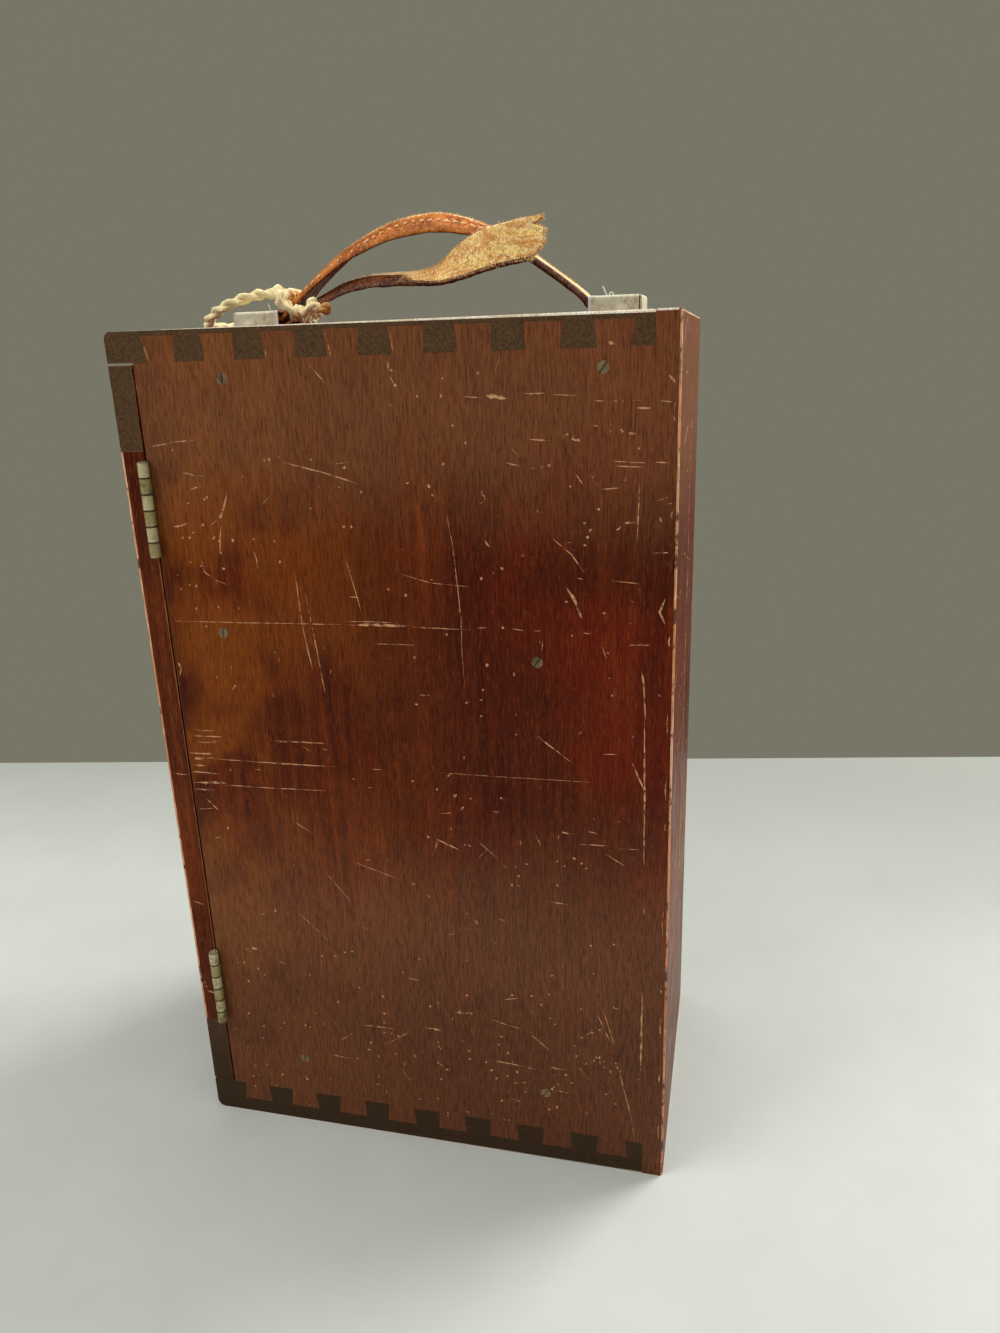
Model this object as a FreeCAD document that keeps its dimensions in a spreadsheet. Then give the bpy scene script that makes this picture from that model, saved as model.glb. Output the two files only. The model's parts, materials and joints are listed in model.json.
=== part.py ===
"""A wooden microscope case: a dovetailed carcass, a hinged and locking door, and a leather strap handle.

Sizes are in millimetres. +X points to the hinge side, -Y to the door and +Z up, and the origin
is under the middle of the case, on the surface that it stands on.
"""
import FreeCAD, Part
import math
import os
import re

import Sketcher

from FreeCAD import Placement, Rotation, Vector

# The driving dimensions.
SIZES = {
    # carcass
    "case_height": 360,
    "case_width": 130,
    "case_depth": 216,
    "side_thickness": 10,
    "top_thickness": 11.5,
    "bottom_thickness": 16.5,
    "back_thickness": 9,
    "top_lap": 2,
    "bottom_lap": 7.4,
    "top_arris_radius": 3,
    "bottom_arris_radius": 4,
    "back_arris_radius": 1.5,
    # dovetails: the tails are on the sides and the pins on the boards
    "tail_pitch": 24.4,
    "tail_base_width": 12,
    "tail_tip_width": 13.6,
    "corner_pin_least": 3,
    # door
    "door_thickness": 10,
    "door_seam": 0.8,
    "door_gap_top": 0.8,
    "door_gap_bottom": 0.4,
    "top_cleat_height": 32,
    "bottom_cleat_height": 33.5,
    "tongue_height": 5,
    "tongue_thickness": 3.4,
    "tongue_shoulder": 8,
    "groove_play": 0.3,
    # foot stop on the door
    "stop_width": 70,
    "stop_depth": 16,
    "stop_height": 22,
    "stop_floor_gap": 2.5,
    "stop_screw_spacing": 44,
    # hinges
    "hinge_length": 38,
    "upper_hinge_cleat_gap": 3.7,
    "lower_hinge_cleat_gap": 2.1,
    "knuckle_radius": 2.1,
    "knuckle_gap": 0.2,
    "hinge_stand_off": 2.3,
    "hinge_pin_radius": 1,
    "hinge_pin_play": 0.06,
    "leaf_edge_margin": 1.4,
    "leaf_thickness": 1,
    "leaf_gap": 0.4,
    "leaf_barrel_gap": 0.3,
    "leaf_screw_spacing": 13,
    "leaf_screw_inset": 4.4,
    # lock on the door's inner face
    "lock_edge_gap": 3,
    "key_z": 175,
    "lock_width": 30,
    "lock_plate_thickness": 1.5,
    "lock_plate_tab": 8,
    "lock_depth": 10,
    "lock_wall": 1,
    "lock_play": 0.8,
    "lock_screw_spacing": 18,
    "bolt_height": 10,
    "bolt_thickness": 4.5,
    "bolt_length": 25,
    "bolt_travel": 7,
    "bolt_play": 0.2,
    "bolt_slot_height": 3.4,
    "stump_radius": 1.5,
    "spring_gap": 0.1,
    "spring_rise": 5,
    "spring_thickness": 0.5,
    "spring_half_length": 11,
    # key
    "key_shank_radius": 2.2,
    "key_bit_reach": 7.5,
    "key_bit_thickness": 2,
    "key_bit_width": 5.6,
    "key_play": 0.4,
    "key_stand_out": 17,
    "key_bow_radius": 7,
    "key_bow_wire_radius": 1.6,
    "key_collar_radius": 3.4,
    "key_collar_width": 2.5,
    "escutcheon_thickness": 0.8,
    "escutcheon_radius": 6,
    "escutcheon_low_reach": 13.5,
    "escutcheon_high_reach": 9,
    "escutcheon_pin_inset": 2,
    # strike in the side panel
    "strike_width": 12,
    "strike_height": 30,
    "strike_thickness": 1.2,
    "strike_bolt_play": 0.6,
    "mortise_depth": 6.5,
    "strike_screw_spacing": 22,
    # fittings inside
    "rail_width": 12,
    "rail_height": 14,
    "rail_front_gap": 22.2,
    "rail_back_gap": 24,
    "foot_space": 12.5,
    "batten_width": 12,
    "batten_height": 14.5,
    "batten_front_gap": 24.2,
    "batten_back_gap": 4,
    "rack_depth": 28,
    "rack_thickness": 14,
    "rack_z": 232.5,
    "rack_front_gap": 11.2,
    "rack_back_gap": 29,
    "rack_corner_radius": 6,
    "rack_hole_radius": 11,
    "rack_hole_spacing": 36,
    "rack_hole_inset": 14.5,
    # screws through the sides: how high in its fitting each goes, and how far from the fitting's end
    "rail_screw_height": 7,
    "rail_screw_front_inset": 16.4,
    "rail_screw_back_inset": 18.6,
    "rack_screw_front_height": 10.5,
    "rack_screw_front_inset": 12.6,
    "rack_screw_back_height": 3.5,
    "rack_screw_back_inset": 13.4,
    "batten_screw_drop": 6.5,
    "batten_screw_front_inset": 12.2,
    "batten_screw_back_inset": 13.4,
    # nails in the back panel
    "back_nail_end_inset": 37.5,
    "back_nail_board_spacing": 60,
    # strap handle
    "handle_middle_y": 3.5,
    "clip_end_inset": 22.4,
    "clip_length": 20.6,
    "clip_wall": 0.8,
    "clip_side_play": 0.7,
    "clip_slack": 0.4,
    "clip_edge_radius": 1.2,
    "strap_width": 19,
    "strap_thickness": 3,
    "torn_strap_width": 17,
    "torn_strap_thickness": 2.2,
    "strap_play": 0.3,
    "strap_inset": 2,
    # tie string
    "string_radius": 1.9,
    "knot_wall": 3.2,
    "knot_length": 7,
    "knot_rise": 6.15,
    "knot_slack": 4.2,
    "knot_end_length": 16,
    "knot_end_inset": 0.3,
    # screws and nails: every kind has a shank, a head and a length
    "side_screw_radius": 1.4,
    "side_screw_head_radius": 2.2,
    "side_screw_length": 19,
    "hinge_screw_radius": 0.9,
    "hinge_screw_head_radius": 1.7,
    "hinge_screw_length": 7.5,
    "lock_screw_radius": 1.1,
    "lock_screw_head_radius": 2.2,
    "lock_screw_length": 8,
    "strike_screw_radius": 0.9,
    "strike_screw_head_radius": 1.8,
    "strike_screw_length": 7.5,
    "stop_screw_radius": 1.5,
    "stop_screw_head_radius": 2.8,
    "stop_screw_length": 22,
    "clip_screw_radius": 1.4,
    "clip_screw_head_radius": 2.6,
    "clip_screw_length": 17,
    "pin_screw_radius": 0.5,
    "pin_screw_head_radius": 0.9,
    "pin_screw_length": 5,
    "back_nail_radius": 0.8,
    "back_nail_head_radius": 1.5,
    "back_nail_head_thickness": 0.8,
    "back_nail_length": 22,
    "screw_play": 0.1,
    "screw_slot_width": 0.6,
    "screw_slot_depth": 0.5,
}

# Places and sizes that follow from the driving dimensions.
PLACES = {
    "outer_x": "case_width / 2",
    "inner_x": "outer_x - side_thickness",
    "front_y": "-case_depth / 2",
    "back_y": "case_depth / 2",
    "back_seam_y": "back_y - back_thickness",
    "door_inner_y": "front_y + door_thickness",
    "panel_front_y": "door_inner_y + door_seam",
    "floor_z": "bottom_thickness",
    "ceiling_z": "case_height - top_thickness",
    "top_tail_tip_z": "case_height - top_lap",
    "door_low_z": "floor_z + door_gap_bottom",
    "door_high_z": "ceiling_z - door_gap_top",
    "door_panel_low_z": "door_low_z + bottom_cleat_height",
    "door_panel_high_z": "door_high_z - top_cleat_height",
    "tongue_low_y": "front_y + (door_thickness - tongue_thickness) / 2",
    "tail_room": "-panel_front_y - corner_pin_least - tail_tip_width / 2",
    "tail_count": "2 * floor(tail_room / tail_pitch + 0.5)",
    "first_tail_y": "-(tail_count - 1) / 2 * tail_pitch",
    "upper_hinge_z": "door_panel_high_z - upper_hinge_cleat_gap - hinge_length / 2",
    "lower_hinge_z": "door_panel_low_z + lower_hinge_cleat_gap + hinge_length / 2",
    "hinge_x": "outer_x + hinge_stand_off",
    "hinge_y": "door_inner_y + door_seam / 2",
    "knuckle_step": "hinge_length / 6",
    "leaf_inner_x": "inner_x + leaf_edge_margin",
    "leaf_outer_x": "hinge_x - knuckle_radius - leaf_barrel_gap",
    "case_leaf_near_y": "hinge_y + leaf_gap / 2",
    "case_leaf_far_y": "case_leaf_near_y + leaf_thickness",
    "door_leaf_near_y": "hinge_y - leaf_gap / 2",
    "door_leaf_far_y": "door_leaf_near_y - leaf_thickness",
    "lock_side_x": "-inner_x + lock_edge_gap",
    "lock_x": "lock_side_x + lock_width / 2",
    "plate_face_y": "door_inner_y + lock_plate_thickness",
    "cover_face_y": "plate_face_y + lock_depth",
    "cover_inner_y": "cover_face_y - lock_wall",
    "lock_low_z": "key_z - key_bit_reach - lock_play - lock_wall",
    "bolt_low_z": "key_z + key_bit_reach + lock_play",
    "bolt_high_z": "bolt_low_z + bolt_height",
    "bolt_mid_z": "bolt_low_z + bolt_height / 2",
    "bolt_far_y": "cover_inner_y - bolt_play",
    "bolt_near_y": "bolt_far_y - bolt_thickness",
    "lock_high_z": "bolt_high_z + spring_rise + lock_play + lock_wall",
    "stump_x": "lock_side_x + bolt_length / 2",
    "spring_radius": "(spring_half_length ^ 2 + spring_rise ^ 2) / (2 * spring_rise)",
    "key_tip_y": "cover_inner_y - key_play",
    "key_bow_y": "front_y - key_stand_out",
    "escutcheon_face_y": "front_y - escutcheon_thickness",
    "strike_near_y": "(bolt_near_y + bolt_far_y - strike_width) / 2",
    "rail_low_z": "floor_z + foot_space",
    "rail_inner_x": "inner_x - rail_width",
    "rail_front_y": "panel_front_y + rail_front_gap",
    "rail_back_y": "back_seam_y - rail_back_gap",
    "rack_inner_x": "inner_x - rack_depth",
    "rack_front_y": "panel_front_y + rack_front_gap",
    "rack_back_y": "back_seam_y - rack_back_gap",
    "batten_inner_x": "inner_x - batten_width",
    "batten_front_y": "panel_front_y + batten_front_gap",
    "batten_back_y": "back_seam_y - batten_back_gap",
    "stop_low_z": "floor_z + stop_floor_gap",
    "clip_span": "case_depth - 2 * clip_end_inset - clip_length",
    "clip_mouth_y": "(clip_span - clip_length) / 2",
    "clip_room": "torn_strap_thickness + strap_thickness + 3 * strap_play + clip_slack",
    "clip_height": "clip_room + clip_wall",
    "clip_inner_width": "strap_width + 2 * clip_side_play",
    "clip_width": "clip_inner_width + 2 * clip_wall",
    "clip_inner_z": "case_height + clip_room",
    "back_nail_spacing": "(case_height - 2 * back_nail_end_inset) / 3",
    "torn_strap_z": "case_height + strap_play + torn_strap_thickness / 2",
    "strap_z": "case_height + 2 * strap_play + torn_strap_thickness + strap_thickness / 2",
    "knot_z": "case_height + (torn_strap_thickness + strap_thickness) / 2 + knot_rise",
    "knot_hole_height": "torn_strap_thickness + strap_thickness + knot_slack",
}

# Rotations that turn +Z to the named direction.
TURNS = {
    "+x": Rotation(Vector(0, 1, 0), 90),
    "-x": Rotation(Vector(0, 1, 0), -90),
    "+y": Rotation(Vector(1, 0, 0), -90),
    "-y": Rotation(Vector(1, 0, 0), 90),
    "+z": Rotation(),
    "-z": Rotation(Vector(1, 0, 0), 180),
}
SLOT_TURN_STEP = 37  # degrees from one slot to the next, so that slots stand at odd angles
TOUCHING = 1e-6  # how near a place is to an edge that passes through it

doc = FreeCAD.newDocument("microscope_case")
pieces = []


# ---------------------------------------------------------------- the sheets


def bound(expression):
    """The expression with each name in it written as a reference to the sheet that holds it."""

    def reference(match):
        name = match[0]
        if name in SIZES:
            return "dims." + name
        if name in PLACES:
            return "places." + name
        return name

    return re.sub(r"[a-z]\w*", reference, str(expression))


def fill_sheet(name, cells):
    """A sheet with one row for each name: its cell has the name as its alias."""
    sheet = doc.addObject("Spreadsheet::Sheet", name)
    for row, (alias, content) in enumerate(cells.items(), start=1):
        sheet.set(f"A{row}", alias)
        sheet.set(f"B{row}", content)
        sheet.setAlias(f"B{row}", alias)
    return sheet


dims = fill_sheet("dims", {name: str(size) for name, size in SIZES.items()})
doc.recompute()
places = fill_sheet("places", {name: "=" + bound(formula) for name, formula in PLACES.items()})
doc.recompute()


def value(expression):
    """What an expression of sheet names comes to, as a number."""
    return float(dims.evalExpression(bound(expression)))


# ---------------------------------------------------------------- building blocks


def put(thing, at, turn=None):
    """Binds an object's place to the sheets, and turns it."""
    if turn is not None:
        thing.Placement = Placement(Vector(), turn)
    for axis, place in zip("xyz", at):
        thing.setExpression("Placement.Base." + axis, bound(place))
    return thing


def box(name, x, y, z):
    """A block that runs between two places along each axis."""
    block = doc.addObject("Part::Box", name)
    for size, (low, high) in zip(("Length", "Width", "Height"), (x, y, z)):
        block.setExpression(size, bound(f"({high}) - ({low})"))
    return put(block, (x[0], y[0], z[0]))


def rod(name, at, direction, length, radius):
    """A round bar from a place along a direction."""
    bar = doc.addObject("Part::Cylinder", name)
    bar.setExpression("Radius", bound(radius))
    bar.setExpression("Height", bound(length))
    return put(bar, at, TURNS[direction])


def fuse(name, parts):
    """The parts joined into one solid."""
    whole = doc.addObject("Part::MultiFuse", name)
    whole.Shapes = parts
    whole.Refine = True
    return whole


def cut(name, base, tools):
    """The base with every tool taken out of it."""
    result = doc.addObject("Part::Cut", name)
    result.Base = base
    result.Tool = tools[0] if len(tools) == 1 else fuse(name + "_tools", tools)
    return result


def common(name, parts):
    """What all the parts share."""
    result = doc.addObject("Part::MultiCommon", name)
    result.Shapes = parts
    return result


def group(name, solids):
    """Separate solids of one kind that share a node."""
    result = doc.addObject("Part::Compound", name)
    result.Links = solids
    return result


def piece(name, thing):
    """Marks an object as a finished piece and gives it the piece's name."""
    thing.Label = name
    pieces.append(thing)
    return thing


def origin_plane(body, role):
    """The body's own origin plane with a role such as XY_Plane."""
    return next(feature for feature in body.Origin.OriginFeatures if feature.Role == role)


def outline(body, name, role, corners):
    """A closed sketch on one of the body's origin planes, with every corner bound to the sheets."""
    sketch = body.newObject("Sketcher::SketchObject", name)
    sketch.AttachmentSupport = (origin_plane(body, role), [""])
    sketch.MapMode = "FlatFace"
    points = [Vector(value(across), value(up), 0) for across, up in corners]
    count = len(points)
    for index in range(count):
        sketch.addGeometry(Part.LineSegment(points[index], points[(index + 1) % count]))
    for index in range(count):
        sketch.addConstraint(Sketcher.Constraint("Coincident", index, 2, (index + 1) % count, 1))
    for index, (across, up) in enumerate(corners):
        for kind, expression in (("DistanceX", across), ("DistanceY", up)):
            constraint = Sketcher.Constraint(kind, -1, 1, index, 1, value(expression))
            number = sketch.addConstraint(constraint)
            sketch.setExpression(f"Constraints[{number}]", bound(expression))
    return sketch


def rectangle(body, name, role, across, up):
    """A sketched rectangle between two places each way."""
    corners = [(across[0], up[0]), (across[1], up[0]), (across[1], up[1]), (across[0], up[1])]
    return outline(body, name, role, corners)


def pad(body, name, sketch, length):
    """The sketch made solid, along its plane's normal."""
    solid = body.newObject("PartDesign::Pad", name)
    solid.Profile = sketch
    solid.setExpression("Length", bound(length))
    doc.recompute()
    return solid


def in_a_row(body, name, feature, sketch, step, count):
    """Copies of a feature along its sketch's horizontal axis, a step apart."""
    pattern = body.newObject("PartDesign::LinearPattern", name)
    pattern.Originals = [feature]
    pattern.Direction = (sketch, ["H_Axis"])
    pattern.setExpression("Length", bound(f"({step}) * (({count}) - 1)"))
    pattern.setExpression("Occurrences", bound(count))
    body.Tip = pattern
    doc.recompute()
    return pattern


def edges_through(feature, *spots):
    """The names of the feature's edges that pass through any of the given places."""
    points = [Part.Vertex(*(value(place) for place in spot)) for spot in spots]
    return [
        f"Edge{number}"
        for number, edge in enumerate(feature.Shape.Edges, start=1)
        if any(edge.distToShape(point)[0] < TOUCHING for point in points)
    ]


def rounded(body, name, feature, radius, *spots):
    """A fillet on the feature's edges that pass through the given places."""
    fillet = body.newObject("PartDesign::Fillet", name)
    fillet.Base = (feature, edges_through(feature, *spots))
    fillet.setExpression("Radius", bound(radius))
    body.Tip = fillet
    doc.recompute()
    return fillet


# ---------------------------------------------------------------- fasteners


def fastener_turn(direction, index=0):
    """The rotation of a fastener that drives along a direction, with its slot at an odd angle."""
    return TURNS[direction] * Rotation(Vector(0, 0, 1), SLOT_TURN_STEP * index)


def screw(name, kind, at, direction, index=0):
    """A countersunk slotted screw: its head is flush at a place and it drives along a direction."""
    reach = f"{kind}_head_radius"
    head_depth = f"({kind}_head_radius - {kind}_radius)"
    head = doc.addObject("Part::Cone", name + "_head")
    head.setExpression("Radius1", bound(reach))
    head.setExpression("Radius2", bound(f"{kind}_radius"))
    head.setExpression("Height", bound(head_depth))
    shank_length = f"{kind}_length - {head_depth}"
    shank = rod(name + "_shank", (0, 0, head_depth), "+z", shank_length, f"{kind}_radius")
    half_slot = "screw_slot_width / 2"
    slot = box(
        name + "_slot",
        ("-" + reach, reach),
        ("-" + half_slot, half_slot),
        ("-screw_slot_depth", "screw_slot_depth"),
    )
    slotted = cut(name, fuse(name + "_blank", [head, shank]), [slot])
    return put(slotted, at, fastener_turn(direction, index))


def screw_hole(name, kind, at, direction):
    """The countersunk hole that a screw of a kind goes in, with some play round it."""
    head_depth = f"({kind}_head_radius - {kind}_radius)"
    mouth = doc.addObject("Part::Cone", name + "_mouth")
    mouth.setExpression("Radius1", bound(f"{kind}_head_radius + screw_play"))
    mouth.setExpression("Radius2", bound(f"{kind}_radius + screw_play"))
    mouth.setExpression("Height", bound(head_depth))
    depth = f"{kind}_length + screw_play"
    bore = rod(name + "_bore", (0, 0, 0), "+z", depth, f"{kind}_radius + screw_play")
    return put(fuse(name, [mouth, bore]), at, TURNS[direction])


def nail(name, kind, at, direction):
    """A flat-headed nail: its head is flush at a place and it drives along a direction."""
    head = rod(name + "_head", (0, 0, 0), "+z", f"{kind}_head_thickness", f"{kind}_head_radius")
    shank = rod(name + "_shank", (0, 0, 0), "+z", f"{kind}_length", f"{kind}_radius")
    return put(fuse(name, [head, shank]), at, TURNS[direction])


def nail_hole(name, kind, at, direction):
    """The hole that a nail of a kind goes in, with some play round it."""
    head_radius = f"{kind}_head_radius + screw_play"
    head = rod(name + "_head", (0, 0, 0), "+z", f"{kind}_head_thickness", head_radius)
    depth = f"{kind}_length + screw_play"
    shank = rod(name + "_shank", (0, 0, 0), "+z", depth, f"{kind}_radius + screw_play")
    return put(fuse(name, [head, shank]), at, TURNS[direction])


def screw_set(label, kind, spots, direction):
    """The screws of one kind at several places, as one piece, and a function that makes their holes."""
    screws = [screw(f"{label}_{index}", kind, spot, direction, index) for index, spot in enumerate(spots)]
    piece(label, group(label + "_group", screws))

    def holes(owner):
        return [
            screw_hole(f"{owner}_{label}_hole_{index}", kind, spot, direction)
            for index, spot in enumerate(spots)
        ]

    return holes


# ---------------------------------------------------------------- screws through the sides

SIDES = {"hinge_side": 1, "lock_side": -1}


def side_screws(label, spots, sides=SIDES):
    """Screws driven inwards from the sides' outer faces, flush with them, and their holes by side."""
    placed = [
        (side, ("outer_x" if SIDES[side] > 0 else "-outer_x", y, z), "-x" if SIDES[side] > 0 else "+x")
        for side in sides
        for y, z in spots
    ]
    screws = [
        screw(f"{label}_{index}", "side_screw", at, direction, index)
        for index, (side, at, direction) in enumerate(placed)
    ]
    piece(label, group(label + "_group", screws))

    def holes(owner, wanted):
        return [
            screw_hole(f"{owner}_{label}_hole_{index}", "side_screw", at, direction)
            for index, (side, at, direction) in enumerate(placed)
            if side == wanted
        ]

    return holes


rail_holes = side_screws(
    "foot_rail_screws",
    [
        ("rail_front_y + rail_screw_front_inset", "rail_low_z + rail_screw_height"),
        ("rail_back_y - rail_screw_back_inset", "rail_low_z + rail_screw_height"),
    ],
)
batten_holes = side_screws(
    "top_batten_screws",
    [
        ("batten_front_y + batten_screw_front_inset", "ceiling_z - batten_screw_drop"),
        ("batten_back_y - batten_screw_back_inset", "ceiling_z - batten_screw_drop"),
    ],
)
rack_holes = side_screws(
    "accessory_rack_screws",
    [
        ("rack_front_y + rack_screw_front_inset", "rack_z + rack_screw_front_height"),
        ("rack_back_y - rack_screw_back_inset", "rack_z + rack_screw_back_height"),
    ],
    ["hinge_side"],
)


# ---------------------------------------------------------------- nails in the back

SIDE_NAIL_STEPS = (-1.5, -0.5, 0.5, 1.5)
BOARD_NAIL_STEPS = (-0.5, 0.5)

back_nail_spots = [
    (across, "back_y", f"case_height / 2 + ({step}) * back_nail_spacing")
    for across in ("side_thickness / 2 - outer_x", "outer_x - side_thickness / 2")
    for step in SIDE_NAIL_STEPS
]
back_nail_spots += [
    (f"({step}) * back_nail_board_spacing", "back_y", height)
    for height in ("bottom_thickness / 2", "case_height - top_thickness / 2")
    for step in BOARD_NAIL_STEPS
]
back_nails = [
    nail(f"back_nail_{index}", "back_nail", spot, "-y") for index, spot in enumerate(back_nail_spots)
]
piece("back_panel_nails", group("back_nail_group", back_nails))


def back_nail_holes(owner):
    """The holes of all the back's nails."""
    return [
        nail_hole(f"{owner}_back_nail_hole_{index}", "back_nail", spot, "-y")
        for index, spot in enumerate(back_nail_spots)
    ]


# ---------------------------------------------------------------- hinges

LEAF_SCREW_STEPS = (-1, 0, 1)
KNUCKLES = 6


def hinge(label, middle_z):
    """A butt hinge in the seam behind the door. Returns the functions that make its screws' holes."""
    low_z = f"({middle_z} - hinge_length / 2)"
    high_z = f"({middle_z} + hinge_length / 2)"
    screw_x = "(leaf_inner_x + leaf_screw_inset)"
    holes = {}
    for side, first_knuckle, near_y, far_y, drive in (
        ("case", 0, "case_leaf_near_y", "case_leaf_far_y", "+y"),
        ("door", 1, "door_leaf_near_y", "door_leaf_far_y", "-y"),
    ):
        name = f"{label}_{side}_leaf"
        across_y = (near_y, far_y) if drive == "+y" else (far_y, near_y)
        spots = [
            (screw_x, near_y, f"{middle_z} + {step} * leaf_screw_spacing") for step in LEAF_SCREW_STEPS
        ]
        holes[side] = screw_set(f"{label}_{side}_screws", "hinge_screw", spots, drive)
        parts = [box(name + "_plate", ("leaf_inner_x", "leaf_outer_x"), across_y, (low_z, high_z))]
        for knuckle in range(first_knuckle, KNUCKLES, 2):
            bottom = f"{low_z} + {knuckle} * knuckle_step + knuckle_gap / 2"
            top = f"{low_z} + {knuckle + 1} * knuckle_step - knuckle_gap / 2"
            reach = "hinge_x - hinge_pin_radius - leaf_barrel_gap"
            parts.append(box(f"{name}_tab_{knuckle}", ("leaf_outer_x", reach), across_y, (bottom, top)))
            length = "knuckle_step - knuckle_gap"
            at = ("hinge_x", "hinge_y", bottom)
            parts.append(rod(f"{name}_knuckle_{knuckle}", at, "+z", length, "knuckle_radius"))
        bore = rod(
            name + "_bore",
            ("hinge_x", "hinge_y", low_z),
            "+z",
            "hinge_length",
            "hinge_pin_radius + hinge_pin_play",
        )
        piece(name, cut(name + "_bored", fuse(name + "_blank", parts), [bore, *holes[side](name)]))
    pin = rod(f"{label}_pin_bar", ("hinge_x", "hinge_y", low_z), "+z", "hinge_length", "hinge_pin_radius")
    piece(f"{label}_pin", pin)

    def seats(side, owner):
        if side == "case":
            across_y = ("panel_front_y", "case_leaf_far_y")
        else:
            across_y = ("door_leaf_far_y", "door_inner_y")
        seat = box(f"{owner}_{label}_seat", ("leaf_inner_x", "outer_x"), across_y, (low_z, high_z))
        return [seat, *holes[side](owner)]

    return seats


hinge_seats = [hinge("upper_hinge", "upper_hinge_z"), hinge("lower_hinge", "lower_hinge_z")]


# ---------------------------------------------------------------- strike

strike_side_y = ("strike_near_y", "strike_near_y + strike_width")
strike_side_z = ("bolt_mid_z - strike_height / 2", "bolt_mid_z + strike_height / 2")
bolt_way_y = ("bolt_near_y - strike_bolt_play", "bolt_far_y + strike_bolt_play")
bolt_way_z = ("bolt_low_z - strike_bolt_play", "bolt_high_z + strike_bolt_play")
strike_screw_spots = [
    ("-inner_x", "(bolt_near_y + bolt_far_y) / 2", f"bolt_mid_z + ({step}) * strike_screw_spacing")
    for step in (-0.5, 0.5)
]
strike_holes = screw_set("strike_plate_screws", "strike_screw", strike_screw_spots, "-x")
strike_x = ("-inner_x - strike_thickness", "-inner_x")
strike_blank = box("strike_blank", strike_x, strike_side_y, strike_side_z)
strike_slot = box("strike_slot", ("-outer_x", "0"), bolt_way_y, bolt_way_z)
piece("strike_plate", cut("strike_plate_cut", strike_blank, [strike_slot, *strike_holes("strike_plate")]))


# ---------------------------------------------------------------- carcass


def side_panel(side):
    """An upright side: a board with a row of tails at its top and one at its bottom."""
    name = "side_panel_" + side
    body = doc.addObject("PartDesign::Body", name + "_body")
    seams_y = ("panel_front_y", "back_seam_y")
    face = rectangle(body, name + "_face", "YZ_Plane", seams_y, ("floor_z", "ceiling_z"))
    pad(body, name + "_board", face, "side_thickness")
    ends = (("top", "ceiling_z", "top_tail_tip_z"), ("bottom", "floor_z", "bottom_lap"))
    for end, base_z, tip_z in ends:
        corners = [
            ("first_tail_y - tail_base_width / 2", base_z),
            ("first_tail_y + tail_base_width / 2", base_z),
            ("first_tail_y + tail_tip_width / 2", tip_z),
            ("first_tail_y - tail_tip_width / 2", tip_z),
        ]
        sketch = outline(body, f"{name}_{end}_tail_face", "YZ_Plane", corners)
        tail = pad(body, f"{name}_{end}_tail", sketch, "side_thickness")
        in_a_row(body, f"{name}_{end}_tails", tail, sketch, "tail_pitch", "tail_count")
    put(body, ("inner_x" if SIDES[side] > 0 else "-outer_x", 0, 0))
    return body


def finished_side(side, body):
    """The side with its screw holes and nail holes, and what its edge or inner face carries let in."""
    name = "side_panel_" + side
    tools = [*rail_holes(name, side), *batten_holes(name, side), *back_nail_holes(name)]
    if side == "hinge_side":
        tools += rack_holes(name, side)
        for seats in hinge_seats:
            tools += seats("case", name)
    else:
        tools.append(box("strike_recess", strike_x, strike_side_y, strike_side_z))
        mortise_x = ("-inner_x - mortise_depth", "-inner_x")
        tools.append(box("bolt_mortise", mortise_x, bolt_way_y, bolt_way_z))
        tools += strike_holes(name)
    piece(name, cut(name + "_cut", body, tools))


def board(name, thickness, low_z, radius, arris_z):
    """A flat board over or under the sides, up to the back, with a front arris made round."""
    body = doc.addObject("PartDesign::Body", name + "_body")
    across = ("-outer_x", "outer_x")
    face = rectangle(body, name + "_plan", "XY_Plane", across, ("front_y", "back_seam_y"))
    solid = pad(body, name + "_slab", face, thickness)
    rounded(body, name + "_front", solid, radius, (0, "front_y", arris_z))
    put(body, (0, 0, low_z))
    return body


side_bodies = {side: side_panel(side) for side in SIDES}
for side, body in side_bodies.items():
    finished_side(side, body)

CLIP_SIDES = {"front": -1, "rear": 1}
CLIP_SCREW_STEPS = (-0.22, 0.22)


def clip_middle(side):
    """The middle of a strap clip along the case."""
    return f"(handle_middle_y + ({CLIP_SIDES[side]}) * clip_span / 2)"


clip_holes = {}
for side in CLIP_SIDES:
    clip_screw_spots = [
        (0, f"{clip_middle(side)} + ({step}) * clip_length", "case_height + clip_height")
        for step in CLIP_SCREW_STEPS
    ]
    clip_holes[side] = screw_set(f"{side}_clip_screws", "clip_screw", clip_screw_spots, "-z")

top_slab = board("top_board", "top_thickness", "ceiling_z", "top_arris_radius", "top_thickness")
top_tools = [*side_bodies.values(), *back_nail_holes("top_board")]
for side in CLIP_SIDES:
    top_tools += clip_holes[side]("top_board")
piece("top_board", cut("top_board_cut", top_slab, top_tools))

bottom_slab = board("bottom_board", "bottom_thickness", 0, "bottom_arris_radius", 0)
bottom_tools = [*side_bodies.values(), *back_nail_holes("bottom_board")]
piece("bottom_board", cut("bottom_board_cut", bottom_slab, bottom_tools))

back_body = doc.addObject("PartDesign::Body", "back_panel_body")
back_face = rectangle(back_body, "back_face", "XZ_Plane", ("-outer_x", "outer_x"), (0, "case_height"))
back_board = pad(back_body, "back_board", back_face, "back_thickness")
rounded(
    back_body,
    "back_arris",
    back_board,
    "back_arris_radius",
    ("outer_x", 0, "case_height / 2"),
    ("-outer_x", 0, "case_height / 2"),
    (0, 0, "case_height"),
    (0, 0, 0),
)
put(back_body, (0, "back_y", 0))
piece("back_panel", cut("back_panel_cut", back_body, back_nail_holes("back_panel")))


# ---------------------------------------------------------------- fittings inside


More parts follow.
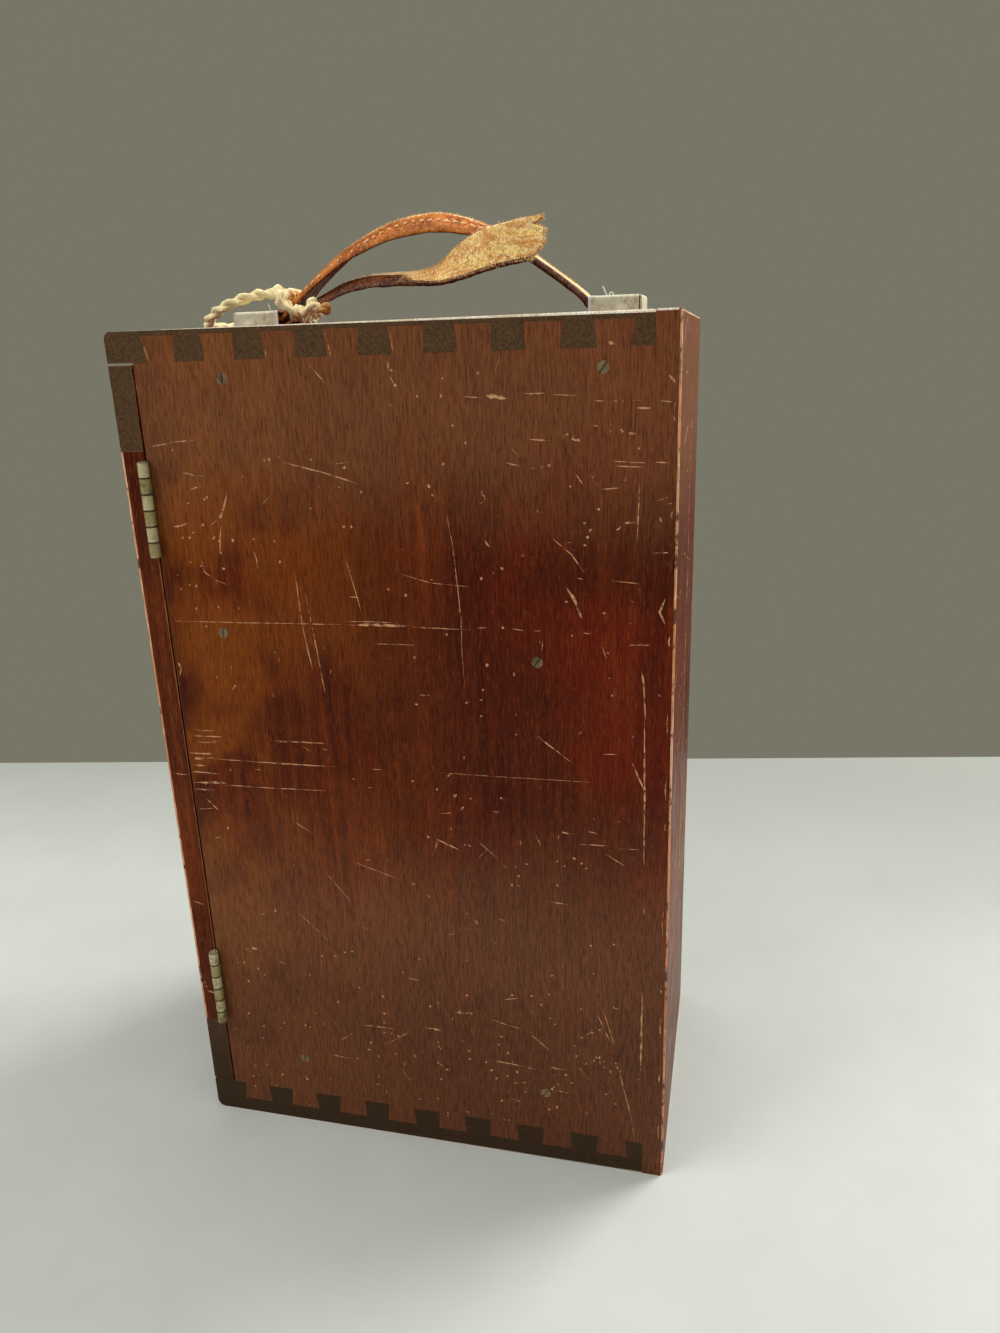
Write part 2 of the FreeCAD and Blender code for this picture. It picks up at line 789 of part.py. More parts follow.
def both_sides(low, high):
    """A span across the case on the hinge side, and the same span mirrored to the lock side."""
    return {"hinge_side": (low, high), "lock_side": (f"-({high})", f"-({low})")}


rail_y = ("rail_front_y", "rail_back_y")
rail_z = ("rail_low_z", "rail_low_z + rail_height")
for side, across_x in both_sides("rail_inner_x", "inner_x").items():
    name = "foot_rail_" + side
    rail = box(name + "_bar", across_x, rail_y, rail_z)
    piece(name, cut(name + "_cut", rail, rail_holes(name, side)))

batten_y = ("batten_front_y", "batten_back_y")
batten_z = ("ceiling_z - batten_height", "ceiling_z")
for side, across_x in both_sides("batten_inner_x", "inner_x").items():
    name = "top_batten_" + side
    batten = box(name + "_bar", across_x, batten_y, batten_z)
    piece(name, cut(name + "_cut", batten, batten_holes(name, side)))

RACK_HOLES = 4
rack_x = ("rack_inner_x", "inner_x")
rack_y = ("rack_front_y", "rack_back_y")
rack_body = doc.addObject("PartDesign::Body", "rack_body")
rack_plan = rectangle(rack_body, "rack_plan", "XY_Plane", rack_x, rack_y)
rack_board = pad(rack_body, "rack_board", rack_plan, "rack_thickness")
rounded(
    rack_body,
    "rack_corners",
    rack_board,
    "rack_corner_radius",
    ("rack_inner_x", "rack_front_y", "rack_thickness / 2"),
    ("rack_inner_x", "rack_back_y", "rack_thickness / 2"),
)
put(rack_body, (0, 0, "rack_z"))
rack_tools = rack_holes("accessory_rack", "hinge_side")
for index in range(RACK_HOLES):
    step = index - (RACK_HOLES - 1) / 2
    hole_y = f"(rack_front_y + rack_back_y) / 2 + {step} * rack_hole_spacing"
    at = ("rack_inner_x + rack_hole_inset", hole_y, "rack_z")
    rack_tools.append(rod(f"rack_hole_{index}", at, "+z", "rack_thickness", "rack_hole_radius"))
piece("accessory_rack", cut("accessory_rack_cut", rack_body, rack_tools))


# ---------------------------------------------------------------- door

door_y = ("front_y", "door_inner_y")
door_x = ("-outer_x", "outer_x")
tongue_x = ("-outer_x + tongue_shoulder", "outer_x - tongue_shoulder")
tongue_y = ("tongue_low_y", "tongue_low_y + tongue_thickness")

stop_screw_spots = [
    (f"({step}) * stop_screw_spacing", "door_inner_y + stop_depth", "stop_low_z + stop_height / 2")
    for step in (-0.5, 0.5)
]
stop_holes = screw_set("foot_stop_screws", "stop_screw", stop_screw_spots, "-y")
lock_screw_spots = [
    (f"lock_x + ({step}) * lock_screw_spacing", "plate_face_y", height)
    for height in ("lock_low_z - lock_plate_tab / 2", "lock_high_z + lock_plate_tab / 2")
    for step in (-0.5, 0.5)
]
lock_holes = screw_set("lock_screws", "lock_screw", lock_screw_spots, "-y")
escutcheon_pin_spots = [
    ("lock_x", "escutcheon_face_y", "key_z - escutcheon_low_reach + escutcheon_pin_inset"),
    ("lock_x", "escutcheon_face_y", "key_z + escutcheon_high_reach - escutcheon_pin_inset"),
]
escutcheon_pin_holes = screw_set("escutcheon_pins", "pin_screw", escutcheon_pin_spots, "+y")


def keyhole(owner, y):
    """A round hole for the key's shank with a slot under it for its bit, through a span of depth."""
    radius = "key_shank_radius + key_play"
    half_slot = "(key_bit_thickness / 2 + key_play)"
    length = f"({y[1]}) - ({y[0]})"
    shank_way = rod(owner + "_keyhole_top", ("lock_x", y[0], "key_z"), "+y", length, radius)
    bit_way = box(
        owner + "_keyhole_slot",
        (f"lock_x - {half_slot}", f"lock_x + {half_slot}"),
        y,
        ("key_z - key_bit_reach - key_play", "key_z"),
    )
    return fuse(owner + "_keyhole", [shank_way, bit_way])


top_tongue_z = ("door_panel_high_z", "door_panel_high_z + tongue_height")
low_tongue_z = ("door_panel_low_z - tongue_height", "door_panel_low_z")
door_parts = [
    box("door_middle", door_x, door_y, ("door_panel_low_z", "door_panel_high_z")),
    box("door_top_tongue", tongue_x, tongue_y, top_tongue_z),
    box("door_low_tongue", tongue_x, tongue_y, low_tongue_z),
]
door_tools = [keyhole("door_panel", door_y), *lock_holes("door_panel")]
door_tools += escutcheon_pin_holes("door_panel")
for seats in hinge_seats:
    door_tools += seats("door", "door_panel")
piece("door_panel", cut("door_panel_cut", fuse("door_panel_blank", door_parts), door_tools))

top_cleat = box("door_top_cleat_bar", door_x, door_y, ("door_panel_high_z", "door_high_z"))
groove_top_z = "door_panel_high_z + tongue_height + groove_play"
top_groove = box("door_top_groove", tongue_x, tongue_y, ("door_panel_high_z", groove_top_z))
piece("door_top_cleat", cut("door_top_cleat_cut", top_cleat, [top_groove]))

low_cleat = box("door_low_cleat_bar", door_x, door_y, ("door_low_z", "door_panel_low_z"))
groove_low_z = "door_panel_low_z - tongue_height - groove_play"
low_groove = box("door_low_groove", tongue_x, tongue_y, (groove_low_z, "door_panel_low_z"))
low_cleat_tools = [low_groove, *stop_holes("door_bottom_cleat")]
piece("door_bottom_cleat", cut("door_bottom_cleat_cut", low_cleat, low_cleat_tools))

stop_x = ("-stop_width / 2", "stop_width / 2")
stop_y = ("door_inner_y", "door_inner_y + stop_depth")
stop_block = box("foot_stop_block", stop_x, stop_y, ("stop_low_z", "stop_low_z + stop_height"))
piece("door_foot_stop", cut("door_foot_stop_cut", stop_block, stop_holes("door_foot_stop")))


# ---------------------------------------------------------------- lock

lock_far_x = "lock_side_x + lock_width"
lock_x_span = ("lock_side_x", lock_far_x)
plate_y = ("door_inner_y", "plate_face_y")
plate_z = ("lock_low_z - lock_plate_tab", "lock_high_z + lock_plate_tab")
plate = box("lock_plate_sheet", lock_x_span, plate_y, plate_z)
stump_length = "bolt_far_y - plate_face_y"
stump = rod("lock_stump", ("stump_x", "plate_face_y", "bolt_mid_z"), "+y", stump_length, "stump_radius")
plate_holes = [keyhole("lock_plate", plate_y), *lock_holes("lock_plate")]
piece("lock_backplate", fuse("lock_backplate_whole", [cut("lock_plate_cut", plate, plate_holes), stump]))

cover_y = ("plate_face_y", "cover_face_y")
cover_outside = box("lock_cover_outside", lock_x_span, cover_y, ("lock_low_z", "lock_high_z"))
cover_inside = box(
    "lock_cover_inside",
    ("lock_side_x + lock_wall", f"{lock_far_x} - lock_wall"),
    ("plate_face_y", "cover_inner_y"),
    ("lock_low_z + lock_wall", "lock_high_z - lock_wall"),
)
bolt_door = box(
    "lock_cover_bolt_way",
    ("lock_side_x", "lock_side_x + lock_wall"),
    ("bolt_near_y - bolt_play", "bolt_far_y"),
    ("bolt_low_z - bolt_play", "bolt_high_z + bolt_play"),
)
piece("lock_cover", cut("lock_cover_cut", cover_outside, [cover_inside, bolt_door]))

bolt_bar = box(
    "bolt_bar",
    ("lock_side_x", "lock_side_x + bolt_length"),
    ("bolt_near_y", "bolt_far_y - bolt_play"),
    ("bolt_low_z", "bolt_high_z"),
)
bolt_slot = box(
    "bolt_slot",
    ("stump_x - stump_radius - bolt_play", "stump_x + stump_radius + bolt_play + bolt_travel"),
    ("bolt_near_y", "bolt_far_y"),
    ("bolt_mid_z - bolt_slot_height / 2", "bolt_mid_z + bolt_slot_height / 2"),
)
piece("lock_bolt", cut("lock_bolt_cut", bolt_bar, [bolt_slot]))

spring_low_z = "bolt_high_z + spring_gap"
spring_centre = ("lock_x", "bolt_near_y", f"{spring_low_z} + spring_thickness + spring_radius")
spring_width = "bolt_thickness / 2"
spring_outer_radius = "spring_radius + spring_thickness"
spring_outer = rod("spring_outer", spring_centre, "+y", spring_width, spring_outer_radius)
spring_inner = rod("spring_inner", spring_centre, "+y", spring_width, "spring_radius")
spring_window = box(
    "spring_window",
    ("lock_x - spring_half_length", "lock_x + spring_half_length"),
    ("bolt_near_y", "bolt_far_y"),
    ("bolt_high_z", "bolt_high_z + spring_rise + spring_thickness"),
)
spring_ring = cut("spring_ring", spring_outer, [spring_inner])
piece("lock_bolt_spring", common("lock_bolt_spring_strip", [spring_ring, spring_window]))

shank_length = "key_tip_y - key_bow_y - key_bow_radius"
shank_start = ("lock_x", "key_bow_y + key_bow_radius", "key_z")
bow = doc.addObject("Part::Torus", "key_bow")
bow.setExpression("Radius1", bound("key_bow_radius"))
bow.setExpression("Radius2", bound("key_bow_wire_radius"))
put(bow, ("lock_x", "key_bow_y", "key_z"), TURNS["+x"])
collar_start = ("lock_x", "escutcheon_face_y - key_play - key_collar_width", "key_z")
bit = box(
    "key_bit",
    ("lock_x - key_bit_thickness / 2", "lock_x + key_bit_thickness / 2"),
    ("key_tip_y - key_play - key_bit_width", "key_tip_y - key_play"),
    ("key_z - key_bit_reach", "key_z"),
)
key_parts = [
    rod("key_shank", shank_start, "+y", shank_length, "key_shank_radius"),
    rod("key_collar", collar_start, "+y", "key_collar_width", "key_collar_radius"),
    bow,
    bit,
]
piece("key", fuse("key_whole", key_parts))

escutcheon_low_z = "key_z - escutcheon_low_reach + escutcheon_radius"
escutcheon_high_z = "key_z + escutcheon_high_reach - escutcheon_radius"
escutcheon_y = ("escutcheon_face_y", "front_y")
escutcheon_x = ("lock_x - escutcheon_radius", "lock_x + escutcheon_radius")
escutcheon_z = (escutcheon_low_z, escutcheon_high_z)
escutcheon_parts = [box("escutcheon_middle", escutcheon_x, escutcheon_y, escutcheon_z)]
for end, height in zip(("low", "high"), escutcheon_z):
    at = ("lock_x", "escutcheon_face_y", height)
    round_end = rod(f"escutcheon_{end}_end", at, "+y", "escutcheon_thickness", "escutcheon_radius")
    escutcheon_parts.append(round_end)
escutcheon_blank = fuse("escutcheon_blank", escutcheon_parts)
escutcheon_tools = [keyhole("escutcheon", escutcheon_y), *escutcheon_pin_holes("escutcheon")]
piece("key_escutcheon", cut("key_escutcheon_cut", escutcheon_blank, escutcheon_tools))


# ---------------------------------------------------------------- strap clips

half_clip = "clip_width / 2"
clip_x = ("-" + half_clip, half_clip)
for side, sign in CLIP_SIDES.items():
    name = f"{side}_strap_clip"
    mouth_y = f"(handle_middle_y + ({sign}) * clip_mouth_y)"
    end_y = f"(handle_middle_y + ({sign}) * (clip_mouth_y + clip_length))"
    wall_y = f"{end_y} - ({sign}) * clip_wall"
    body = doc.addObject("PartDesign::Body", name + "_body")
    clip_plan = rectangle(body, name + "_plan", "XY_Plane", clip_x, (mouth_y, end_y))
    clip_block = pad(body, name + "_block", clip_plan, "clip_height")
    rounded(
        body,
        name + "_folds",
        clip_block,
        "clip_edge_radius",
        (half_clip, clip_middle(side), "clip_height"),
        ("-" + half_clip, clip_middle(side), "clip_height"),
        (0, end_y, "clip_height"),
    )
    put(body, (0, 0, "case_height"))
    hollow_y = (mouth_y, wall_y) if sign > 0 else (wall_y, mouth_y)
    hollow_x = ("-clip_inner_width / 2", "clip_inner_width / 2")
    hollow = box(name + "_hollow", hollow_x, hollow_y, ("case_height", "clip_inner_z"))
    piece(name, cut(name + "_cut", body, [hollow, *clip_holes[side](name)]))


# ---------------------------------------------------------------- strap

# The strap's arch between the clips: places along the case from the handle's middle, for clips
# whose mouths are MOUTH_REACH from it, and heights over the strap's flat ends.
MOUTH_REACH = 65
STRAP_ARCH = [
    (-63.7, 0.8), (-61.7, 3.3), (-59.5, 6.1), (-53.5, 12.4), (-47.5, 17.5), (-37.5, 24.6),
    (-27.5, 29.6), (-19.5, 32.9), (-11, 35), (-2, 36.1), (5.5, 35.8), (16.5, 32.9), (27.5, 27.9),
    (35.5, 23), (42.5, 18.3), (51.5, 12.9), (56.5, 9.3), (60.5, 5.2), (63.5, 1.4),
]
STRAP_MOUTH_GAP = 0.2  # how far outside the clip's mouth the strap starts to bend

bend_reach = f"(clip_mouth_y - {STRAP_MOUTH_GAP})"
tip_reach = "(clip_mouth_y + clip_length - strap_inset)"
strap_stretch = value("clip_mouth_y") / MOUTH_REACH


def middle_line():
    """The strap's middle line: its flat ends in the clips, and the arch between them."""
    flat = "strap_z - case_height"
    line = [(f"handle_middle_y - {reach}", flat) for reach in (tip_reach, bend_reach)]
    line += [
        (f"handle_middle_y + ({along}) * clip_mouth_y / {MOUTH_REACH}", f"{flat} + {up}")
        for along, up in STRAP_ARCH
    ]
    line += [(f"handle_middle_y + {reach}", flat) for reach in (bend_reach, tip_reach)]
    return line


def offset_line(line, side):
    """The line moved sideways by half the strap's thickness, with mitred corners."""
    numbers = [(value(along), value(up)) for along, up in line]
    moved = []
    for index, (along, up) in enumerate(line):
        before = numbers[max(index - 1, 0)]
        here = numbers[index]
        after = numbers[min(index + 1, len(numbers) - 1)]
        first = math.atan2(here[1] - before[1], here[0] - before[0]) if index else None
        last = math.atan2(after[1] - here[1], after[0] - here[0]) if index < len(numbers) - 1 else first
        first = last if first is None else first
        middle = (first + last) / 2
        mitre = side / math.cos((last - first) / 2)
        moved.append((
            f"{along} + ({-mitre * math.sin(middle)}) * strap_thickness / 2",
            f"{up} + ({mitre * math.cos(middle)}) * strap_thickness / 2",
        ))
    return moved


strap_line = middle_line()
strap_outline = offset_line(strap_line, 1) + offset_line(strap_line, -1)[::-1]
strap_body = doc.addObject("PartDesign::Body", "strap_body")
strap_side = outline(strap_body, "strap_side", "YZ_Plane", strap_outline)
pad(strap_body, "strap_strip", strap_side, "strap_width")
put(strap_body, ("-strap_width / 2", 0, "case_height"))
strap_tools = [*clip_holes["front"]("handle_strap"), *clip_holes["rear"]("handle_strap")]
piece("handle_strap", cut("handle_strap_cut", strap_body, strap_tools))

# The lower layer has torn off near its rear end. Its middle line, for the same clips: a place
# across the case, a place along it from the handle's middle, a height over the layer's flat end,
# and a twist in degrees that turns its upper face to +X.
TORN_STRAP_LINE = [
    (0, -63.1, 0.3, 0), (0, -60.5, 2.2, 0), (0, -57.5, 5.1, 0), (0, -54.5, 8, 0), (0, -45.5, 12.6, 0),
    (0.5, -36.5, 16.2, 0), (1.5, -25.5, 18, 0), (3, -14.5, 17.8, 4), (5, -5.5, 17.2, 12),
    (8.5, 4.5, 17.4, 32), (12.3, 14.5, 20.2, 52), (15, 26.5, 24, 66), (15.8, 38.5, 26.2, 70),
    (15.8, 47.5, 27.2, 70),
]


def strip_section(centre, direction, twist, width, thickness):
    """A closed rectangle square to a direction, with its long side across the case before the twist."""
    turn = Rotation(direction, twist)
    across = turn.multVec(Vector(1, 0, 0).cross(direction).cross(direction).negative().normalize())
    through = direction.cross(across).normalize()
    half_across = across * (width / 2)
    half_through = through * (thickness / 2)
    corners = [
        centre - half_across - half_through,
        centre + half_across - half_through,
        centre + half_across + half_through,
        centre - half_across + half_through,
    ]
    return Part.makePolygon(corners + corners[:1])


def torn_strap_shape():
    """The torn layer as a ruled loft through its sections, from its flat end in the front clip."""
    flat = value("torn_strap_z")
    width = value("torn_strap_width")
    thickness = value("torn_strap_thickness")
    middle = value("handle_middle_y")
    stations = [(Vector(0, middle - value(reach), flat), 0) for reach in (tip_reach, bend_reach)]
    for across, along, up, twist in TORN_STRAP_LINE:
        stations.append((Vector(across, middle + along * strap_stretch, flat + up), twist))
    points = [point for point, _ in stations]
    sections = []
    for index, (point, twist) in enumerate(stations):
        before = points[max(index - 1, 0)]
        after = points[min(index + 1, len(points) - 1)]
        direction = (after - before).normalize()
        sections.append(strip_section(point, direction, twist, width, thickness))
    return Part.makeLoft(sections, True, True)


torn_strip = doc.addObject("Part::Feature", "torn_strip")
torn_strip.Shape = torn_strap_shape()
torn_tools = clip_holes["front"]("handle_torn_strap")
piece("handle_torn_strap", cut("handle_torn_strap_cut", torn_strip, torn_tools))

stub = box(
    "strap_stub_strip",
    ("-torn_strap_width / 2", "torn_strap_width / 2"),
    ("handle_middle_y + clip_mouth_y + strap_inset", f"handle_middle_y + {tip_reach}"),
    ("torn_strap_z - torn_strap_thickness / 2", "torn_strap_z + torn_strap_thickness / 2"),
)
piece("handle_strap_stub", cut("handle_strap_stub_cut", stub, clip_holes["rear"]("handle_strap_stub")))


# ---------------------------------------------------------------- tie string

KNOT_ALONG = -59.75  # where along the strap's arch the string is tied round it
KNOT_TILT = 45  # degrees, the slope of the strap there

knot_y = f"(handle_middle_y + ({KNOT_ALONG}) * clip_mouth_y / {MOUTH_REACH})"
knot_hole_width = "(strap_width + 2 * strap_play)"
knot_width = f"({knot_hole_width} + 2 * knot_wall)"
knot_height = "(knot_hole_height + 2 * knot_wall)"


def centred_block(name, width, length, height):
    """A block round its own origin."""
    return box(
        name,
        (f"-{width} / 2", f"{width} / 2"),
        (f"-{length} / 2", f"{length} / 2"),
        (f"-{height} / 2", f"{height} / 2"),
    )


knot_block = centred_block("knot_block", knot_width, "knot_length", knot_height)
knot_window = centred_block("knot_window", knot_hole_width, "(2 * knot_length)", "knot_hole_height")
knot_ring = cut("knot_ring", knot_block, [knot_window])
knot_tilt = math.degrees(math.atan(math.tan(math.radians(KNOT_TILT)) / strap_stretch))
put(knot_ring, (0, knot_y, "knot_z"), Rotation(Vector(1, 0, 0), knot_tilt))
knot_end_at = (
    f"{knot_width} / 2 - knot_end_inset - string_radius",
    f"{knot_y} + knot_length / 2",
    "knot_z - string_radius",
)
knot_end = rod("knot_end", knot_end_at, "+y", "knot_end_length", "string_radius")
piece("tie_string_knot", fuse("tie_string_knot_whole", [knot_ring, knot_end]))

# The tail's route, as places across and along the case and heights over its top: out of the knot,
# over the front clip, down to the top board and along it.
TAIL_ROUTE = [
    (4, -60.3, 13.5), (4, -68, 15.2), (3.6, -81, 13.6), (3.6, -91, 10.8), (1, -98.6, 6.4),
    (-5.5, -103.2, 3), (-13.8, -104.3, 2.2), (-29, -99.5, 2.2), (-39, -88, 2.2),
]
ARC_SHARE = 0.45  # how much of the shorter run an arc takes up


def rounded_route(points):
    """Straight runs along the route, joined by tangent arcs as large as the runs allow."""
    edges = []
    start = points[0]
    for before, corner, after in zip(points, points[1:], points[2:]):
        back = (before - corner).normalize()
        onward = (after - corner).normalize()
        half_turn = (math.pi - back.getAngle(onward)) / 2
        trim = ARC_SHARE * min((before - corner).Length, (after - corner).Length)
        radius = trim / math.tan(half_turn)
        bisector = (back + onward).normalize()
        centre = corner + bisector * (radius / math.cos(half_turn))
        leave = corner + back * trim
        join = corner + onward * trim
        edges.append(Part.LineSegment(start, leave).toShape())
        edges.append(Part.Arc(leave, centre - bisector * radius, join).toShape())
        start = join
        print(f"tail arc radius {radius:.1f} mm, turn {math.degrees(2 * half_turn):.0f} degrees")
    edges.append(Part.LineSegment(start, points[-1]).toShape())
    return Part.Wire(edges)


def tube(points, radius):
    """A round tube along a route."""
    path = rounded_route(points)
    first = (points[1] - points[0]).normalize()
    section = Part.Wire(Part.makeCircle(radius, points[0], first))
    solid = path.makePipeShell([section], True, False)
    expected = math.pi * radius ** 2 * path.Length
    print(f"tail length {path.Length:.1f} mm, volume {solid.Volume:.1f} of {expected:.1f} mm3")
    return solid


tail = doc.addObject("Part::Feature", "tail_tube")
top_z = value("case_height")
tail_points = [Vector(across, along, top_z + up) for across, along, up in TAIL_ROUTE]
tail.Shape = tube(tail_points, value("string_radius"))
piece("tie_string_tail", tail)


# ---------------------------------------------------------------- checks and files

doc.recompute()
failed = [thing.Name for thing in doc.Objects if {"Invalid", "Error"} & set(thing.State)]
failed += [thing.Label for thing in pieces if thing.Shape.isNull() or not thing.Shape.isValid()]
if failed:
    raise RuntimeError("these objects failed: " + ", ".join(failed))
os.makedirs("parts", exist_ok=True)
for thing in pieces:
    thing.Shape.exportStep(f"parts/{thing.Label}.step")
print(f"{len(pieces)} pieces, {sum(len(thing.Shape.Solids) for thing in pieces)} solids")
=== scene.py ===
"""A wooden microscope case with a leather strap handle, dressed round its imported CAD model."""
import json
import math
import random

import bmesh
import bpy
import numpy as np
from mathutils import Matrix, Vector, noise
from mathutils.geometry import delaunay_2d_cdt


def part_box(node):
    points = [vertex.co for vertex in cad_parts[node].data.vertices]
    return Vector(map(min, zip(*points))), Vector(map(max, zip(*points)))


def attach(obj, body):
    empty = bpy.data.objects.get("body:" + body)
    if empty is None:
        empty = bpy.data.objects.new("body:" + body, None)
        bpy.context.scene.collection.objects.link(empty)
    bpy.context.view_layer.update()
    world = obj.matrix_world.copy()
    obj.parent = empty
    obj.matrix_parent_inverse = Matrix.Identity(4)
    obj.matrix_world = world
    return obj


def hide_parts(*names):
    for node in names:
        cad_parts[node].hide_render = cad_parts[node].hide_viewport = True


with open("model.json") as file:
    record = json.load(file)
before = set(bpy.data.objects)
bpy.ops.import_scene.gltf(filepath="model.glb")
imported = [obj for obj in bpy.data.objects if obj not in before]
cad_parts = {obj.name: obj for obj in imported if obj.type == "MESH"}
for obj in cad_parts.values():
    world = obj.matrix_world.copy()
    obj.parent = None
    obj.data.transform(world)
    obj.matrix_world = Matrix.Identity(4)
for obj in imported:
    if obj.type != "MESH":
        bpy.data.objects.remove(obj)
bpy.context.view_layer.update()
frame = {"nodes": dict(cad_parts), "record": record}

NODES = frame["nodes"]
MM = 0.001
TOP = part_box("top_board")[1].z


def mm(*numbers):
    """A point given in millimetres."""
    return Vector(numbers) * MM


# ---------------------------------------------------------------- camera

CAMERA_PLACE = mm(406.8, 127.7, 348.7)
CAMERA_YAW = 0.2454
CAMERA_PITCH = 0.3153
CAMERA_ROLL = -0.0343
CAMERA_LENS = 26.196
SENSOR_WIDTH = 36
NEAR_CLIP = 0.01


def new_object(name, data):
    """An object that is linked into the scene."""
    thing = bpy.data.objects.new(name, data)
    bpy.context.scene.collection.objects.link(thing)
    return thing


def make_camera():
    """The camera, from its place and its three angles in radians."""
    (cos_yaw, sin_yaw), (cos_pitch, sin_pitch), (cos_roll, sin_roll) = (
        (math.cos(angle), math.sin(angle)) for angle in (CAMERA_YAW, CAMERA_PITCH, CAMERA_ROLL))
    forward = Vector((-cos_yaw * cos_pitch, -sin_yaw * cos_pitch, -sin_pitch))
    level = forward.cross(Vector((0, 0, 1))).normalized()
    upright = level.cross(forward)
    right = level * cos_roll + upright * sin_roll
    up = upright * cos_roll - level * sin_roll
    data = bpy.data.cameras.new("camera")
    data.lens, data.sensor_width, data.clip_start = CAMERA_LENS, SENSOR_WIDTH, NEAR_CLIP
    camera = new_object("camera", data)
    turn = Matrix((right, up, -forward)).transposed().to_4x4()
    camera.matrix_world = Matrix.Translation(CAMERA_PLACE) @ turn
    bpy.context.scene.camera = camera


make_camera()


# ---------------------------------------------------------------- shader building

MID_GREY = (0.5, 0.5, 0.5)


def rgb(*levels):
    """A colour given as it looks on screen, from 0 to 255, as the shader's linear numbers."""
    shares = [level / 255 for level in levels]
    return (*(share / 12.92 if share <= 0.04045 else ((share + 0.055) / 1.055) ** 2.4
              for share in shares), 1)


class Paint:
    """A material or world under construction. Most methods add a node and return its output. The
    patterns lie in the object's own space, unless another place is given."""

    def __init__(self, name, world=False):
        self.made = (bpy.data.worlds if world else bpy.data.materials).new(name)
        self.made.use_nodes = True
        self.tree = self.made.node_tree
        self.tree.nodes.clear()
        self.place = None if world else self.add("TexCoord").outputs["Object"]

    def feed(self, socket, given):
        if isinstance(given, bpy.types.NodeSocket):
            self.tree.links.new(given, socket)
        elif given is not None:
            socket.default_value = given

    def add(self, kind, *values, **settings):
        """A node, with its first inputs and its settings."""
        node = self.tree.nodes.new("ShaderNode" + kind)
        for name, setting in settings.items():
            setattr(node, name, setting)
        for socket, given in zip(node.inputs, values):
            self.feed(socket, given)
        return node

    def fill(self, node, **values):
        """The node, with inputs given by name."""
        for name, given in values.items():
            self.feed(node.inputs[name.replace("_", " ")], given)
        return node

    def math(self, operation, *values):
        return self.add("Math", *values, operation=operation).outputs[0]

    def times(self, first, second):
        return self.math("MULTIPLY", first, second)

    def vector(self, operation, *values):
        node = self.add("VectorMath", *values, operation=operation)
        return node.outputs["Value" if operation in ("DOT_PRODUCT", "LENGTH") else "Vector"]

    def scaled(self, vector, factor):
        node = self.add("VectorMath", vector, operation="SCALE")
        return self.fill(node, Scale=factor).outputs[0]

    def parts(self, vector):
        return self.add("SeparateXYZ", vector).outputs

    def spread(self, value):
        """The value as each of a vector's three parts."""
        return self.add("CombineXYZ", value, value, value).outputs[0]

    def stretched(self, scale, shift=(0, 0, 0), place=None):
        return self.add("Mapping", place or self.place, shift, (0, 0, 0), scale).outputs[0]

    def noise(self, scale=1.0, detail=3.0, roughness=0.5, distortion=0.0, place=None):
        return self.fill(
            self.add("TexNoise"), Vector=place or self.place, Scale=scale, Detail=detail,
            Roughness=roughness, Distortion=distortion).outputs[0]

    def ramp(self, value, low, high, to_low=0.0, to_high=1.0):
        node = self.add(
            "MapRange", value, low, high, to_low, to_high, interpolation_type="SMOOTHSTEP")
        return node.outputs[0]

    def patches(self, scale, low, high, least=0.0, most=1.0, detail=3.0, roughness=0.5,
                place=None):
        """Soft patches that rise from least to most between two levels of a noise."""
        pattern = self.noise(scale, detail, roughness, place=place)
        return self.ramp(pattern, low, high, least, most)

    def mix(self, factor, first, second, blend="MIX"):
        node = self.add("Mix", factor, data_type="RGBA", blend_type=blend)
        for index, colour in ((6, first), (7, second)):  # the inputs that take colours
            self.feed(node.inputs[index], colour)
        return node.outputs[2]

    def bump(self, height, strength, distance, normal=None):
        return self.fill(
            self.add("Bump"), Height=height, Strength=strength, Distance=distance,
            Normal=normal).outputs[0]

    def cells(self, scale, **settings):
        """A cell pattern's outputs."""
        node = self.add("TexVoronoi", **settings)
        return self.fill(node, Vector=self.place, Scale=scale).outputs

    def chosen(self, colour, part, share):
        """1 in the share of the cells that a part of their colour picks."""
        return self.ramp(self.add("SeparateColor", colour).outputs[part], share, share - 0.01)

    def cell_marks(self, scale, width, half_length, share):
        """Short straight scratches, one in some of the cells of a pattern, each its own way."""
        cells = self.cells(scale)
        colour = cells["Color"]
        direction = self.vector("NORMALIZE", self.vector("SUBTRACT", colour, MID_GREY))
        offset = self.vector("SUBTRACT", self.place, cells["Position"])
        along = self.vector("DOT_PRODUCT", offset, direction)
        off_line = self.vector("SUBTRACT", offset, self.scaled(direction, along))
        inside = self.ramp(self.vector("LENGTH", off_line), width, width * 0.4)
        ended = self.ramp(self.math("ABSOLUTE", along), half_length, half_length * 0.6)
        return self.times(self.times(inside, ended), self.chosen(colour, 1, share))

    def knocks(self, scale, size, share):
        """Small dents, one in some of the cells of a pattern."""
        cells = self.cells(scale)
        near = self.ramp(cells["Distance"], size, size * 0.6)
        return self.times(near, self.chosen(cells["Color"], 0, share))

    def finish(self, colour, roughness, normal=None, **constants):
        """The material, with a surface of these looks."""
        shader = self.fill(
            self.add("BsdfPrincipled"), Base_Color=colour, Roughness=roughness, Normal=normal,
            **constants)
        self.add("OutputMaterial", shader.outputs[0])
        return self.made


# ---------------------------------------------------------------- shapes

FINE_STEPS = 24  # how finely a smooth line is traced between two of its points
HAIR_SECTION = (0, 2.094, 4.189)
HAIR_SHAPE = ((-0.15, 1), (0.4, 0.8), (1, 0.25))  # places along a hair, and how thick it is there
LUMP_SHAPE = (-1.35, -0.8, -0.25, 0.25, 0.8, 1.35)
SKEW = (0.31, 0.52, 0.79)  # a direction that nothing is lined up with


